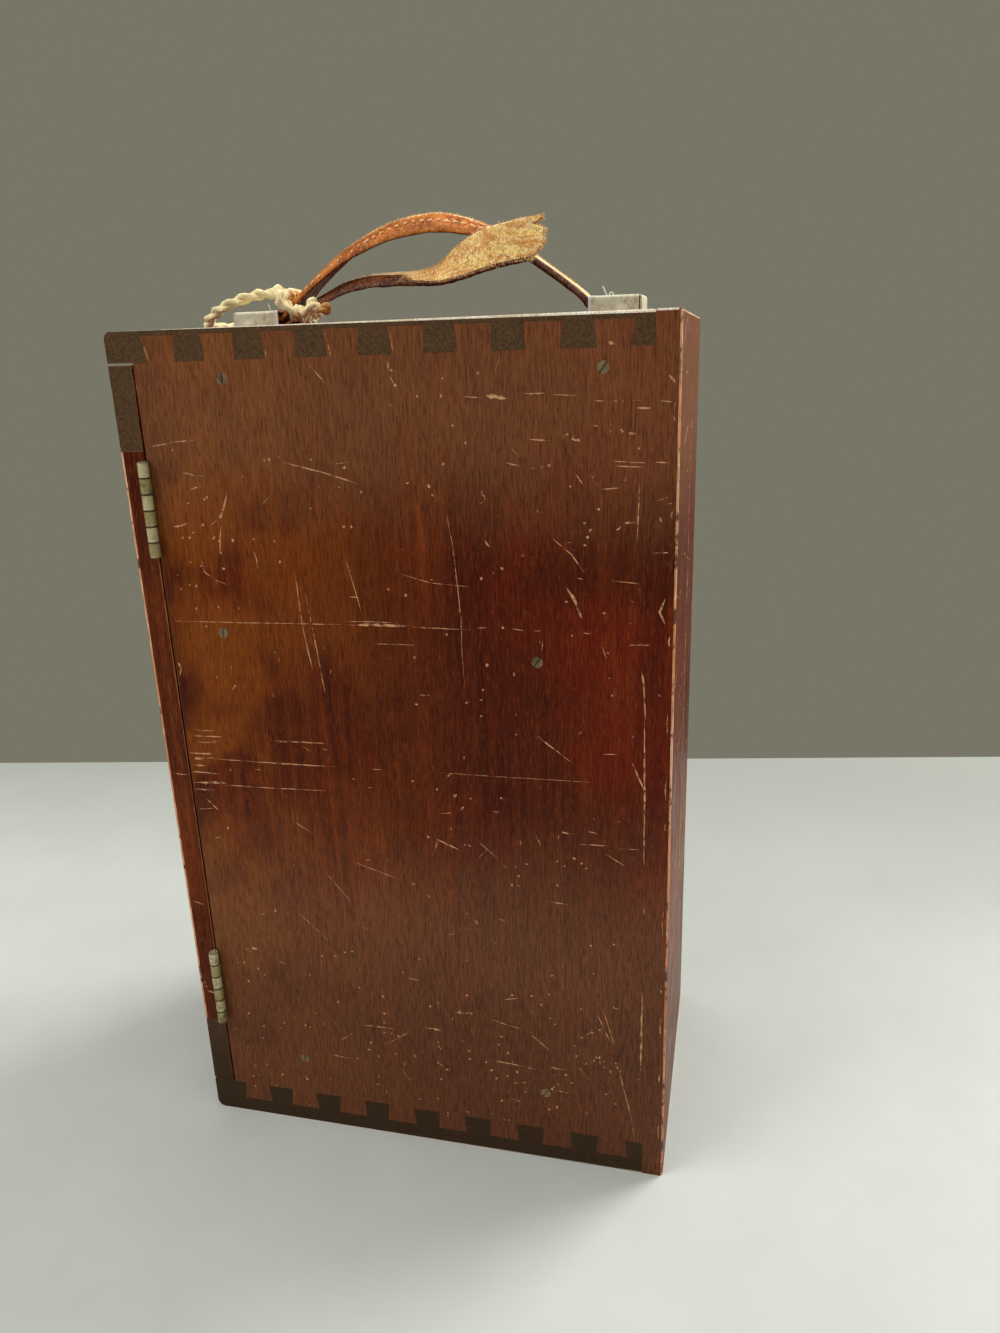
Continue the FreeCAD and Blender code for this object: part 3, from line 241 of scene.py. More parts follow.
def smooth_line(points, spacing):
    """A smooth line through points, as evenly spaced rows. Numbers after the third ride along."""
    rows = np.array(points, float)
    rows = np.vstack([2 * rows[0] - rows[1], rows, 2 * rows[-1] - rows[-2]])
    fine = []
    for a, b, c, d in zip(rows, rows[1:], rows[2:], rows[3:]):
        for t in np.linspace(0, 1, FINE_STEPS, endpoint=False):
            fine.append(0.5 * (2 * b + (c - a) * t + (2 * a - 5 * b + 4 * c - d) * t**2
                               + (3 * b - a - 3 * c + d) * t**3))
    fine.append(rows[-2])
    return even_line(np.array(fine), spacing)


def even_line(rows, spacing):
    """The same line with its rows evenly spaced."""
    steps = np.linalg.norm(np.diff(rows[:, :3], axis=0), axis=1)
    at = np.concatenate([[0], np.cumsum(steps)])
    where = np.linspace(0, at[-1], max(2, round(at[-1] / spacing) + 1))
    return np.column_stack([np.interp(where, at, rows[:, k]) for k in range(rows.shape[1])])


def unit(vectors):
    return vectors / np.linalg.norm(vectors, axis=-1, keepdims=True)


def ripple(point, size, seed=0.0):
    """Smooth noise from -1 to 1 at a point, with features of about the given size."""
    return noise.noise(Vector(point) / size + Vector((seed, seed * 1.7, -seed)))


def round_about(count):
    """That many angles, all the way round."""
    return np.linspace(0, 2 * math.pi, count, endpoint=False)


def circle(middle, side, other, radius, turns):
    """Points round a middle, in the plane of two directions."""
    return [middle + (side * math.cos(turn) + other * math.sin(turn)) * radius for turn in turns]


class Shape:
    """Vertices and faces gathered for one mesh, with a material number for each face. Places and
    sizes are given in mm."""

    def __init__(self):
        self.verts, self.faces, self.marks = [], [], []

    def skin(self, rings, marks=0, flat_ends=False):
        """A closed skin over rings of equal size. A flat band's ends close across its thickness.
        Marks is one material number, a row of them, or a row for each ring."""
        size, first = len(rings[0]), len(self.verts)
        marks = marks if isinstance(marks, list) else [marks] * size
        rows = marks if isinstance(marks[0], list) else [marks] * len(rings)
        for ring in rings:
            self.verts += [tuple(point) for point in np.array(ring) * MM]
        last = first + (len(rings) - 1) * size
        for low, row in zip(range(first, last, size), rows):
            for k in range(size):
                after = (k + 1) % size
                self.faces.append((low + k, low + after, low + size + after, low + size + k))
                self.marks.append(row[k])
        for low in (first, last):
            if flat_ends:
                for k in range(size // 2 - 1):
                    far = low + size - k
                    self.faces.append((low + k, low + k + 1, far - 2, far - 1))
                    self.marks.append(rows[0][k])
            else:
                self.faces.append(tuple(range(low, low + size)))
                self.marks.append(rows[0][0])

    def hair(self, root, lean, lengths, widths, mark, rng):
        """A thin bent fibre that stands on a root and leans one way. Its length and its width are
        each a number or a range."""
        length, width = (
            rng.uniform(*size) if isinstance(size, tuple) else size for size in (lengths, widths))
        lean = unit(np.array(lean, float))
        side = unit(np.cross(lean, SKEW))
        curl = unit(np.array([rng.gauss(0, 1) for _ in range(3)])) * length * 0.35
        self.skin([
            circle(root + lean * length * share + curl * max(share, 0) ** 2,
                   side, np.cross(lean, side), width * wide / 2, HAIR_SECTION)
            for share, wide in HAIR_SHAPE
        ], mark)

    def lump(self, middle, long_way, up, sizes, mark):
        """A rounded grain: half its length, width and height in sizes."""
        long_way = unit(np.array(long_way, float))
        side = unit(np.cross(up, long_way))
        up = np.cross(long_way, side)
        length, width, height = sizes
        self.skin([
            circle(middle + long_way * math.sin(angle) * length, side * width, up * height,
                   math.cos(angle), round_about(8))
            for angle in LUMP_SHAPE
        ], mark)

    def mesh(self, name):
        made = bpy.data.meshes.new(name)
        made.from_pydata(self.verts, [], self.faces)
        made.polygons.foreach_set("material_index", self.marks)
        edited = bmesh.new()
        edited.from_mesh(made)
        bmesh.ops.recalc_face_normals(edited, faces=edited.faces)
        edited.to_mesh(made)
        edited.free()
        return made


BODY_OF = {
    name: body for body, members in frame["record"]["behaviour"]["bodies"].items()
    for name in members
}


def made_piece(node, mesh, materials, smooth=None):
    """A finished mesh as the piece that stands for a node, with the node's body. It is
    smooth up to an angle in degrees."""
    thing = new_object(node + "_made", mesh)
    for material in materials:
        mesh.materials.append(material)
    if smooth is not None:
        mesh.polygons.foreach_set("use_smooth", [True] * len(mesh.polygons))
        mesh.set_sharp_from_angle(angle=math.radians(smooth))
    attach(thing, BODY_OF[node])
    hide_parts(node)
    return thing


# ---------------------------------------------------------------- string

# The tail's route: across the case, along it and up from the top board, in mm.
TAIL_ROUTE = [
    (4, -60.3, 13.5), (4, -68, 15), (3.6, -81, 12.9), (3.6, -91, 9.6), (1, -98.6, 5.8),
    (-5.5, -103.2, 3), (-13.8, -104.3, 2.2), (-29, -99.5, 2.2), (-39, -88, 2.2),
]
KNOT_MIDDLE = (0, -56.25, 368.75)
KNOT_TILT = math.radians(45)
KNOT_TURNS = 2
ROPE_STEP = 0.45
ROPE_ENDS = (0.45, 0.8, 0.95)  # how thick a strand is in its first steps from an end


def string_paint(name, pale, shade):
    """Soft unbleached yarn: pale on the crowns, tan between them, with single fibres showing."""
    paint = Paint(name)
    fibres = paint.noise(distortion=0.8, place=paint.stretched((2600, 900, 2600)))
    colour = paint.mix(paint.ramp(fibres, 0.36, 0.64), rgb(*shade), rgb(*pale))
    cloud = paint.patches(420, 0.45, 0.7, 0, 0.5, detail=4)
    colour = paint.mix(cloud, colour, rgb(*shade))
    return paint.finish(
        colour, 0.92, paint.bump(fibres, 0.4, 0.0003), Sheen_Weight=0.25, Specular_IOR_Level=0.15)


def lay_rope(shape, line, radius, pitch, rng, hairs, mark=0, floor=0.0):
    """Twists two strands round a line of points, with their yarns and stray fibres."""
    line = even_line(line, ROPE_STEP)
    onward = unit(np.gradient(line, axis=0))
    side = unit(np.cross(onward[0], (0.3, 0.2, 0.93)))
    seed = rng.uniform(0, 90)
    rings = [[], []]
    for index, (point, ahead) in enumerate(zip(line, onward)):
        side = unit(side - ahead * side.dot(ahead))
        other = np.cross(ahead, side)
        from_end = min(index, len(line) - 1 - index)
        blunt = ROPE_ENDS[from_end] if from_end < len(ROPE_ENDS) else 1
        for strand in (0, 1):
            turn = 2 * math.pi * (index * ROPE_STEP / pitch + strand / 2)
            turn += 0.5 * ripple(point, 9, seed)
            spread = radius * (0.47 + 0.05 * ripple(point, 4, seed + 3))
            middle = point + (side * math.cos(turn) + other * math.sin(turn)) * spread
            swell = blunt * radius * 0.64 * (1 + 0.18 * ripple(middle, 2.6, seed + strand))
            ring = []
            for around in round_about(15):
                yarn = 1 + 0.10 * math.cos(3 * around + 1.9 * turn)
                yarn += 0.05 * math.cos(7 * around - 3 * turn)
                ring += circle(middle, side, other, swell * yarn, [around])
            rings[strand].append(np.maximum(ring, (-np.inf, -np.inf, floor)))
    for strand_rings in rings:
        shape.skin(strand_rings, mark)
    for _ in range(hairs):
        strand_rings = rings[rng.randrange(2)]
        index = rng.randrange(1, len(strand_rings) - 1)
        ring = strand_rings[index]
        root = ring[rng.randrange(len(ring))]
        lean = unit(root - line[index]) + onward[index] * rng.uniform(-1.6, 1.6)
        shape.hair(root, lean, (0.5, 1.7), (0.05, 0.09), mark, rng)


def tail_line():
    """The tail's own line, in metres, read from its spline."""
    route = bpy.data.curves.new("tail_route", "CURVE")
    route.dimensions = "3D"
    route.resolution_u = 24
    spline = route.splines.new("NURBS")
    spline.points.add(len(TAIL_ROUTE) - 1)
    for point, (x, y, up) in zip(spline.points, TAIL_ROUTE):
        point.co = (x * MM, y * MM, TOP + up * MM, 1)
    spline.order_u = 3
    spline.use_endpoint_u = True
    holder = bpy.data.objects.new("tail_route", route)
    traced = bpy.data.meshes.new_from_object(holder)
    line = [vertex.co.copy() for vertex in traced.vertices]
    bpy.data.meshes.remove(traced)
    bpy.data.objects.remove(holder)
    bpy.data.curves.remove(route)
    return line


STRING_PAINTS = [
    string_paint("string_yarn", (255, 252, 214), (255, 222, 148)),
    string_paint("string_end", (238, 186, 112), (186, 118, 52)),
]
string_rng = random.Random(11)

tail_points = tail_line()
tail_shape = Shape()
lay_rope(
    tail_shape, np.array(tail_points) / MM, 2.1, 15.5, string_rng, 300, floor=TOP / MM + 0.15)
tail = made_piece("tie_string_tail", tail_shape.mesh("string_tail"), STRING_PAINTS[:1], 60)


def knot_place(x, out, along):
    """A place given across the strap, out from it and along it, at the knot."""
    cos_tilt, sin_tilt = math.cos(KNOT_TILT), math.sin(KNOT_TILT)
    return (
        KNOT_MIDDLE[0] + x,
        KNOT_MIDDLE[1] - sin_tilt * out + cos_tilt * along,
        KNOT_MIDDLE[2] + cos_tilt * out + sin_tilt * along,
    )


def squared(share, half):
    """A sine or cosine stretched towards a square's corners, times half the square's side."""
    return half * math.copysign(abs(share) ** 0.7, share)


def make_knot():
    """Two turns of the string round the strap, the crossing on their near side, and the short
    end."""
    turns = []
    for turn in np.linspace(0.15, 2 * KNOT_TURNS * math.pi - 0.15, 60):
        step = min(1, max(0, (turn - 2 * math.pi + 0.7) / 1.4))
        turns.append(knot_place(
            squared(math.cos(turn), 11.2) + 0.3 * math.sin(3.1 * turn),
            squared(math.sin(turn), 6.1) + 0.25 * math.sin(2.3 * turn + 1),
            -1.9 + 3.8 * step * step * (3 - 2 * step)))
    crossing = [knot_place(*place) for place in (
        (1.5, 6.2, -0.6), (5.6, 8.2, 0.2), (10.4, 7.6, 1.2), (13.7, 4, 0.4), (14.2, -0.2, -0.4),
        (13.3, -3.8, 0.8))]
    crossing += [(11.6, -51.2, 365.6), (10.6, -48.6, 366), (11.4, -45, 367.6), (10.9, -41.6, 367.2)]
    loop = [
        (8.4, -49, 363.4), (12.6, -48.2, 364.2), (13.4, -46.4, 367.6), (11, -45.6, 370),
        (8, -46.4, 369.6)]
    end = [(11, -42.6, 367.2), (11.3, -40.2, 367.3), (10.9, -37.4, 367)]
    shape = Shape()
    for points, *sizes, hairs, mark in (
            (turns, 1.8, 12, 260, 0), (crossing, 2.0, 11, 170, 0), (loop, 1.7, 11, 90, 0),
            (end, 2.1, 14, 110, 1)):
        lay_rope(shape, smooth_line(points, ROPE_STEP), *sizes, string_rng, hairs, mark)
    made_piece("tie_string_knot", shape.mesh("string_knot"), STRING_PAINTS, 60)


make_knot()


# ---------------------------------------------------------------- leather


def leather_paint(name, base, dark, light, roughness=0.5, grain=1.0, sheen=0.0, streaks=(130,) * 3):
    """Old leather: a fine pebbled grain, worn light on its crowns and dark in its folds."""
    base, dark, light = rgb(*base), rgb(*dark), rgb(*light)
    paint = Paint(name)
    pebble = paint.cells(1500 * grain, feature="SMOOTH_F1")["Distance"]
    fine = paint.noise(900)
    cloud = paint.patches(1, 0.4, 0.58, 0, 1, 5, 0.65, paint.stretched(streaks))
    colour = paint.mix(cloud, dark, base)
    colour = paint.mix(paint.ramp(fine, 0.5, 0.72, 0, 0.75), colour, light)
    colour = paint.mix(paint.ramp(pebble, 0.55, 0.8, 0, 0.35), colour, dark)
    height = paint.math("ADD", paint.times(pebble, -0.6), fine)
    return paint.finish(
        colour, roughness, paint.bump(height, 0.5, 0.0002), Sheen_Weight=sheen,
        Specular_IOR_Level=0.25)


LEATHERS = [
    leather_paint("leather_outer", (208, 118, 40), (152, 76, 20), (244, 168, 84)),
    leather_paint("leather_edge", (116, 60, 30), (68, 30, 14), (170, 110, 66)),
    leather_paint("leather_under", (126, 96, 78), (84, 56, 44), (178, 142, 118), 0.75),
    leather_paint("leather_flesh", (255, 226, 138), (220, 150, 70), (255, 255, 220), 0.9, 1.6, 0.3,
                  (520, 90, 420)),
    leather_paint("leather_fibre", (255, 222, 156), (232, 178, 104), (255, 246, 214), 0.9, 1, 0.3),
    string_paint("stitch_thread", (255, 226, 176), (232, 170, 106)),
]
OUTER, EDGE, UNDER, FLESH, FIBRE, THREAD = range(6)

HANDLE_MIDDLE = 3.5
FLAT_HEIGHT = 364.3
STRAP_WIDTH = 19
STRAP_THICKNESS = 3
# The straps' lines: a place along the case from the handle's middle and a height over the flat
# end, and for the torn layer a place across the case first and its twist in degrees last.
STRAP_ARCH = [
    (-63.7, 0.8), (-61.7, 3.3), (-59.5, 6.1), (-53.5, 12.4), (-47.5, 17.5), (-37.5, 24.6),
    (-27.5, 29.6), (-19.5, 32.9), (-11, 35), (-2, 36.1), (5.5, 35.8), (16.5, 32.9), (27.5, 27.9),
    (35.5, 22.8), (42.5, 17.9), (51.5, 11.4), (56.5, 7.7), (60.5, 4.7), (63.5, 1.8),
]
# How far the strap's near edge curls down: a place along the case and the drop, in mm.
STRAP_CURL = [
    (-90, 0), (-63, 0.2), (-56, 1.6), (-47, 3.4), (-33, 4.8), (-18, 6), (-3, 6.6), (9, 6.2),
    (19, 4.8), (31, 2.2), (42, 0.4), (56, 0), (90, 0),
]
TORN_HEIGHT = 361.4
TORN_WIDTH = 17
TORN_THICKNESS = 2.2
TORN_LINE = [
    (0, -63.1, 0.3, 0), (0, -60.5, 2.2, 0), (0, -57.5, 5.1, 0), (0, -54.5, 8, 0),
    (0, -45.5, 12.6, 0), (0.5, -36.5, 16.2, 0), (1.5, -25.5, 18, 0), (3, -14.5, 17.8, 4),
    (5, -5.5, 17.2, 12),
    (8.5, 4.5, 17.4, 32), (12.3, 14.5, 20.2, 52), (15, 26.5, 24, 66), (15.8, 38.5, 26.2, 70),
    (15.8, 47.5, 27.2, 70),
]
FLAT_REACH = (84, 75, 67, 64.8)  # how far from the handle's middle the straps lie flat
SKIN_ROOM = 0.3  # what the straps' rough skin adds to their thickness
STRAP_COUNT, TORN_COUNT = 30, 34  # places across each strap's face
# Places along the case where the straps' looks change, in mm.
FREE_STRAP = 62  # how far to each side the whole layer is clear of the clips
STITCHED = (-51, 40)
# Where the strap's top turns pale on its rear limb: a painted highlight.
GOING_PALE = (22, 46)
TORN_FREE, TORN_CURLED = -56, -50  # where the torn layer leaves its clip, and loses its face
FLESH_SHOWS = (-14, -6, 3)
SHAGGY = -6  # from here on fibres stand all over the torn layer
FRAYED_ROWS = 12  # how many of its last rows the tear reaches into


def band_profile(width, thickness, count):
    """Places on a band's upper and lower faces, as across and up, with its edges rounded off."""
    half, round_off = width / 2, thickness * 0.42
    top = []
    for u in np.linspace(-1, 1, count):
        s = math.copysign(1 - (1 - abs(u)) ** 1.25, u)
        over = max(0, abs(s) * half - (half - round_off)) / round_off
        top.append((s * half, thickness / 2 * math.sqrt(max(0.06, 1 - over * over * 0.97))))
    bottom = [(s, -h) for s, h in reversed(top)]
    return top, bottom


def band(shape, rows, width, thickness, count, marks, curl=None, rough=0.1, stretch=None, seed=0.0):
    """A leather band along rows of x, y, z and twist. Gives back two functions: one from a row and
    a place across and up to a point, and one from a row and three shares to a direction."""
    top, bottom = band_profile(width, thickness, count)
    onward = unit(np.gradient(rows[:, :3], axis=0))
    across = unit(np.array([1, 0, 0]) - onward * onward[:, :1])
    upward = np.cross(across, onward)
    twist = np.radians(rows[:, 3])[:, None]
    across, upward = (across * np.cos(twist) - upward * np.sin(twist),
                      upward * np.cos(twist) + across * np.sin(twist))

    def at(index, s, h):
        point = rows[index, :3]
        drop = curl(point[1]) * max(0, (s / width * 2 + 0.35) / 1.35) ** 1.8 if curl else 0
        point = point + across[index] * s * (1 - 0.02 * drop) + upward[index] * (h - drop)
        if stretch:
            point = point + onward[index] * stretch(index, s / width * 2)
        return point

    def way(index, up=0.0, ahead=0.0, aside=0.0):
        return upward[index] * up + onward[index] * ahead + across[index] * aside

    rings = []
    for index in range(len(rows)):
        ring = []
        for s, h in top + bottom:
            point = at(index, s, h)
            bumps = ripple(point, 2.6, seed) * 0.55 + ripple(point, 0.9, seed + 5) * 0.45
            outward = way(index, math.copysign(1, h), 0, (s / width * 2) ** 5)
            ring.append(point + outward * rough * bumps)
        rings.append(ring)
    shape.skin(rings, marks, flat_ends=True)
    return at, way


def part_marks(count, top, far, near, under, ridge=None, at=0.0, wide=0.0):
    """Material numbers round a band's section: its top, its far and near edges, its under side
    and, where it has one, the worn ridge along its top."""
    rim = max(1, count // 9)
    face = [far] * rim + [top] * (count - 1 - 2 * rim) + [near] * (rim + 1)
    if ridge is not None:
        low, high = int(count * (at - wide / 2)), int(count * (at + wide / 2)) + 1
        face[low:high] = [ridge] * (high - low)
    return face + [EDGE] * rim + [under] * (count - 1 - 2 * rim) + [far] * (rim + 1)


def make_strap():
    """The whole upper layer, curled down along its near edge, with its row of old stitches. Along
    its rear limb the top is painted pale as a highlight, and the near side takes the greyish
    underside colour.
    """
    rng = random.Random(3)
    line = [(-reach, 0) for reach in FLAT_REACH] + STRAP_ARCH
    line += [(reach, 0) for reach in FLAT_REACH[::-1]]
    rows = smooth_line([(0, HANDLE_MIDDLE + y, FLAT_HEIGHT + up, 0) for y, up in line], 0.9)
    shape = Shape()
    places, drops = zip(*STRAP_CURL)
    thickness = STRAP_THICKNESS - SKIN_ROOM
    marks = []
    bare = part_marks(STRAP_COUNT, FIBRE, FIBRE, UNDER, EDGE)
    # Towards the rear the top turns pale, a painted highlight from behind, and the near side takes
    # the greyish underside colour.
    for y in rows[:, 1]:
        worn = np.interp(y, GOING_PALE, (0, 1))
        ridge = (0.41 + rng.uniform(-0.025, 0.025), 0.1 + rng.uniform(-0.08, 0.06))
        whole = part_marks(STRAP_COUNT, OUTER, FIBRE, OUTER, UNDER, FIBRE, *ridge)
        marks.append(
            [after if rng.random() < worn else before for before, after in zip(whole, bare)])
    at, way = band(
        shape, rows, STRAP_WIDTH, thickness, STRAP_COUNT, marks,
        lambda y: float(np.interp(y, places, drops)), 0.16, seed=2)
    free = [index for index in range(len(rows)) if abs(rows[index, 1]) < FREE_STRAP]
    for index in free[3::4]:
        y = rows[index, 1]
        if rng.random() < 0.1 or not STITCHED[0] <= y <= STITCHED[1]:
            continue
        s = np.interp(y, (-50, -28, -8, 30), (8.8, 8, 5.6, 6)) + rng.uniform(-0.3, 0.3)
        middle = at(index, s, thickness * (0.5 if s < 8 else 0.3))
        slant = way(index, 0, 1, rng.uniform(0.2, 0.9))
        sizes = (rng.uniform(0.8, 1.5), rng.uniform(0.5, 0.85), 0.5)
        shape.lump(middle, slant, way(index, 1, 0, 0.6), sizes, THREAD)
        for _ in range(rng.randrange(4)):
            lean = way(index, 1, 0, rng.uniform(-1, 1.5))
            shape.hair(middle, lean, (0.4, 1.1), 0.14, THREAD, rng)
    for _ in range(2200):
        index = rng.choice(free)
        s, height = rng.choice([(-0.95, 0.4), (-0.25, 0.5), (-0.2, 0.5), (-0.12, 0.5), (0.97, 0.1)])
        root = at(index, (s + rng.uniform(-0.1, 0.04)) * STRAP_WIDTH / 2, height * thickness)
        lean = way(index, 1, rng.uniform(-1.2, 1.2), rng.uniform(-0.8, 0.8))
        shape.hair(root, lean, (0.3, 0.9), (0.08, 0.18), FIBRE, rng)
    made_piece("handle_strap", shape.mesh("strap"), LEATHERS, 50)


def make_torn_strap():
    """The torn lower layer, with its rough flesh side up and its ragged loose end."""
    rng = random.Random(8)
    line = [(0, -reach, 0, 0) for reach in FLAT_REACH] + TORN_LINE
    rows = smooth_line(
        [(x, HANDLE_MIDDLE + y, TORN_HEIGHT + up, twist) for x, y, up, twist in line], 0.8)
    last = len(rows) - 1
    shape = Shape()
    outline = [
        (-1, 1.2), (-0.86, 1.4), (-0.74, -0.6), (-0.62, -2.8), (-0.5, 0.6), (-0.3, 1.5), (0.1, 1.4),
        (0.35, 0.6), (0.62, -1.4), (0.85, -3.4), (1, -4.6)]
    curls = [(-60, 0), (-52, 2.4), (-40, 4.4), (-25, 5), (-12, 4.2), (-2, 2.4), (8, 0), (60, 0)]

    def stretch(index, u):
        """How far the torn end reaches out there, from its outline and finer tatters."""
        reach = float(np.interp(u, *zip(*outline))) + 0.8 * ripple((u * 9, 0, 0), 1.3, 4)
        return max(0, 1 - (last - index) / FRAYED_ROWS) * reach

    marks = []
    for y in rows[:, 1]:
        if y < TORN_CURLED:
            marks.append(part_marks(TORN_COUNT, OUTER, FIBRE, OUTER, UNDER))
            continue
        numbers = part_marks(TORN_COUNT, EDGE, FIBRE, EDGE, UNDER, FIBRE, 0.5, 0.14)
        opened = np.interp(y, FLESH_SHOWS, (0.5, 0.62, 1)) + rng.uniform(-0.05, 0.05)
        if y > FLESH_SHOWS[0]:
            bared = min(TORN_COUNT - 5, int(TORN_COUNT * opened))
            numbers[3:bared] = [FLESH] * (bared - 3)
        marks.append(numbers)
    at, way = band(
        shape, rows, TORN_WIDTH, TORN_THICKNESS - SKIN_ROOM, TORN_COUNT, marks,
        lambda y: float(np.interp(y, *zip(*curls))), 0.3,
        stretch, 6)
    free = [index for index in range(len(rows)) if rows[index, 1] > TORN_FREE]
    for _ in range(7600):
        index = rng.choice(free)
        y = rows[index, 1]
        shaggy = min(1, max(0.25, (y + 20) / 25))
        if rng.random() > 0.35 + 0.65 * shaggy:
            continue
        if y > SHAGGY:
            s = rng.uniform(-1, 1)
        else:
            s = rng.choice([-0.9, 0.02, 0.08, 0.14]) + rng.uniform(-0.06, 0.06)
        root = at(index, s * TORN_WIDTH / 2, TORN_THICKNESS / 2 - 0.2)
        lean = way(index, rng.uniform(0.3, 1), rng.uniform(-0.6, 1.4), rng.uniform(-1, 1))
        shape.hair(root, lean, (0.4 * shaggy, 1.2 * shaggy), (0.12, 0.3), FIBRE, rng)
    for _ in range(520):
        s, h = rng.uniform(-1, 1), rng.uniform(-0.4, 0.45)
        lean = way(last, rng.uniform(-0.6, 0.8), 1, rng.uniform(-0.7, 0.7))
        root = at(last, s * TORN_WIDTH / 2, h * TORN_THICKNESS)
        shape.hair(root, lean, (0.5, 1.5), (0.12, 0.28), FIBRE, rng)
    made_piece("handle_torn_strap", shape.mesh("torn_strap"), LEATHERS, 50)


def make_stub():
    """What is left of the torn layer in the rear clip."""
    rng = random.Random(4)
    rows = np.array([(0, y, TORN_HEIGHT, 0) for y in np.linspace(70, 87.2, 24)])
    shape = Shape()
    at, way = band(
        shape, rows, TORN_WIDTH, TORN_THICKNESS - SKIN_ROOM, TORN_COUNT,
        part_marks(TORN_COUNT, FLESH, FIBRE, EDGE, UNDER), None, 0.2,
        lambda index, u: -max(0, 1 - index / 5) * (0.9 + ripple((u * 9, 0, 0), 1.2, 7)), 9)
    for _ in range(160):
        s, h = rng.uniform(-1, 1), rng.uniform(-0.4, 0.4)
        lean = way(0, rng.uniform(-0.7, 0.7), -1, rng.uniform(-0.7, 0.7))
        root = at(0, s * TORN_WIDTH / 2, h * TORN_THICKNESS)
        shape.hair(root, lean, (0.4, 1.2), (0.1, 0.22), FIBRE, rng)
    made_piece("handle_strap_stub", shape.mesh("strap_stub"), LEATHERS, 50)


make_strap()
make_torn_strap()
make_stub()


# ---------------------------------------------------------------- wood

GRAIN = {"x": (1, 0, 0), "y": (0, 1, 0), "z": (0, 0, 1)}
# Each wood as its dark, its middle and its light.
STAINED = (rgb(84, 30, 6), rgb(112, 48, 13), rgb(142, 70, 24))
SIDE_STAIN = (rgb(72, 20, 3), rgb(100, 36, 6), rgb(128, 54, 13))
FITTING = (rgb(120, 80, 44), rgb(160, 114, 68), rgb(186, 142, 92))
RUBBED = (rgb(140, 78, 36), rgb(196, 124, 66), rgb(226, 168, 112))
# Near-white: a painted highlight along arrises that catch the light, not a colour of the wood.
PAINTED_HIGHLIGHT = (rgb(206, 184, 148), rgb(236, 224, 198), rgb(250, 244, 228))
# Peach: arrises worn pale, with a painted highlight on them.
WORN_AND_HIGHLIT = (rgb(212, 110, 56), rgb(250, 166, 106), rgb(255, 226, 188))
END_GRAIN = rgb(98, 72, 48)
# The tails stop a little under the top: dark end grain shows over them, wider to the rear.
TAIL_TIPS = 0.3579  # their height, in metres
TIPS_FALL = 0.008  # how much lower they are for each metre to the rear
BACK_BOARD = 0.099  # where the back's own board begins, which has no tails


def darker(colour, share):
    """The colour with its levels multiplied by a share, which can be over 1."""
    return tuple(level * share for level in colour[:3]) + (1,)


def grain_colours(paint, grain, shift, dark, middle, light, ageing_and_sheen=None):
    """Streaks, fibres and pores of straight-grained wood, with its blotches and, where it has them,
    a haze of dust and painted sheen between the streaks and the pores. Returns its colour and its
    relief."""
    def grained(place, across, along, detail, roughness=0.5):
        """A noise that is finer across the grain than along it."""
        scale = tuple(along if part else across for part in GRAIN[grain])
        return paint.noise(1, detail, roughness, place=paint.stretched(scale, shift, place))

    waves = paint.vector("SUBTRACT", paint.spread(grained(paint.place, 14, 4, 1)), MID_GREY)
    bent = paint.vector("ADD", paint.place, paint.scaled(waves, 0.004))
    streaks, bands = grained(bent, 40, 3, 3), grained(bent, 260, 10, 4, 0.65)
    fibres, dashes = grained(bent, 1500, 120, 2, 0.7), grained(bent, 1900, 230, 1)
    tone = paint.math("ADD", paint.times(streaks, 0.5), paint.times(bands, 0.5))
    colour = paint.mix(paint.ramp(tone, 0.38, 0.52), dark, middle)
    colour = paint.mix(paint.ramp(tone, 0.50, 0.64), colour, light)
    if ageing_and_sheen:
        colour = ageing_and_sheen(colour)
    shaded = paint.ramp(fibres, 0.36, 0.64, 0, 0.6)
    colour = paint.mix(shaded, colour, (0.5, 0.42, 0.36, 1), "MULTIPLY")
    pores = paint.ramp(dashes, 0.56, 0.70)
    colour = paint.mix(pores, colour, (0.68, 0.6, 0.56, 1), "MULTIPLY")
    colour = paint.mix(paint.ramp(dashes, 0.42, 0.30, 0, 0.22), colour, darker(light, 1.8))
    return colour, paint.math("SUBTRACT", paint.times(fibres, 0.5), pores)


def end_grain_share(paint, grain):
    """1 on faces that cut across the grain."""
    normal = paint.add("TexCoord").outputs["Normal"]
    lined_up = paint.math("ABSOLUTE", paint.vector("DOT_PRODUCT", normal, GRAIN[grain]))
    return paint.ramp(lined_up, 0.75, 0.92)


def aged_and_sheen_colour(paint, colour, aged_and_sheen):
    """Stained wood gone blotchy. For the hinge side and the back, also amber and ruby by their
    places, a greyish haze of dust and painted sheen near the top and lower down, and darker towards
    the bottom.
    """
    colour = paint.mix(paint.patches(11, 0.44, 0.6, 0, 0.5, 4, 0.6), colour, rgb(72, 20, 4))
    if not aged_and_sheen:
        return colour
    cloud = paint.scaled(paint.spread(paint.noise(16, 4, 0.6)), 0.045)
    _, along, up = paint.parts(paint.vector("ADD", paint.place, cloud))
    amber = paint.times(paint.ramp(along, 0.06, -0.06), paint.patches(22, 0.40, 0.58, 0, 0.75))
    ruby = paint.times(paint.ramp(along, 0.03, 0.1), paint.patches(19, 0.4, 0.6, 0, 0.6))
    colour = paint.mix(amber, colour, rgb(150, 78, 16), "LIGHTEN")
    colour = paint.mix(ruby, colour, rgb(118, 30, 4))
    # A greyish haze near the top and another lower down, each dust and painted sheen; then darker
    # towards the bottom.
    for low, high, most, tint in (
            (0.29, 0.35, 0.55, (150, 100, 64)), (0.21, 0.12, 0.55, (142, 96, 66)),
            (0.15, 0.07, 0.35, (66, 36, 18))):
        colour = paint.mix(paint.ramp(up, low, high, 0, most), colour, rgb(*tint))
    return colour


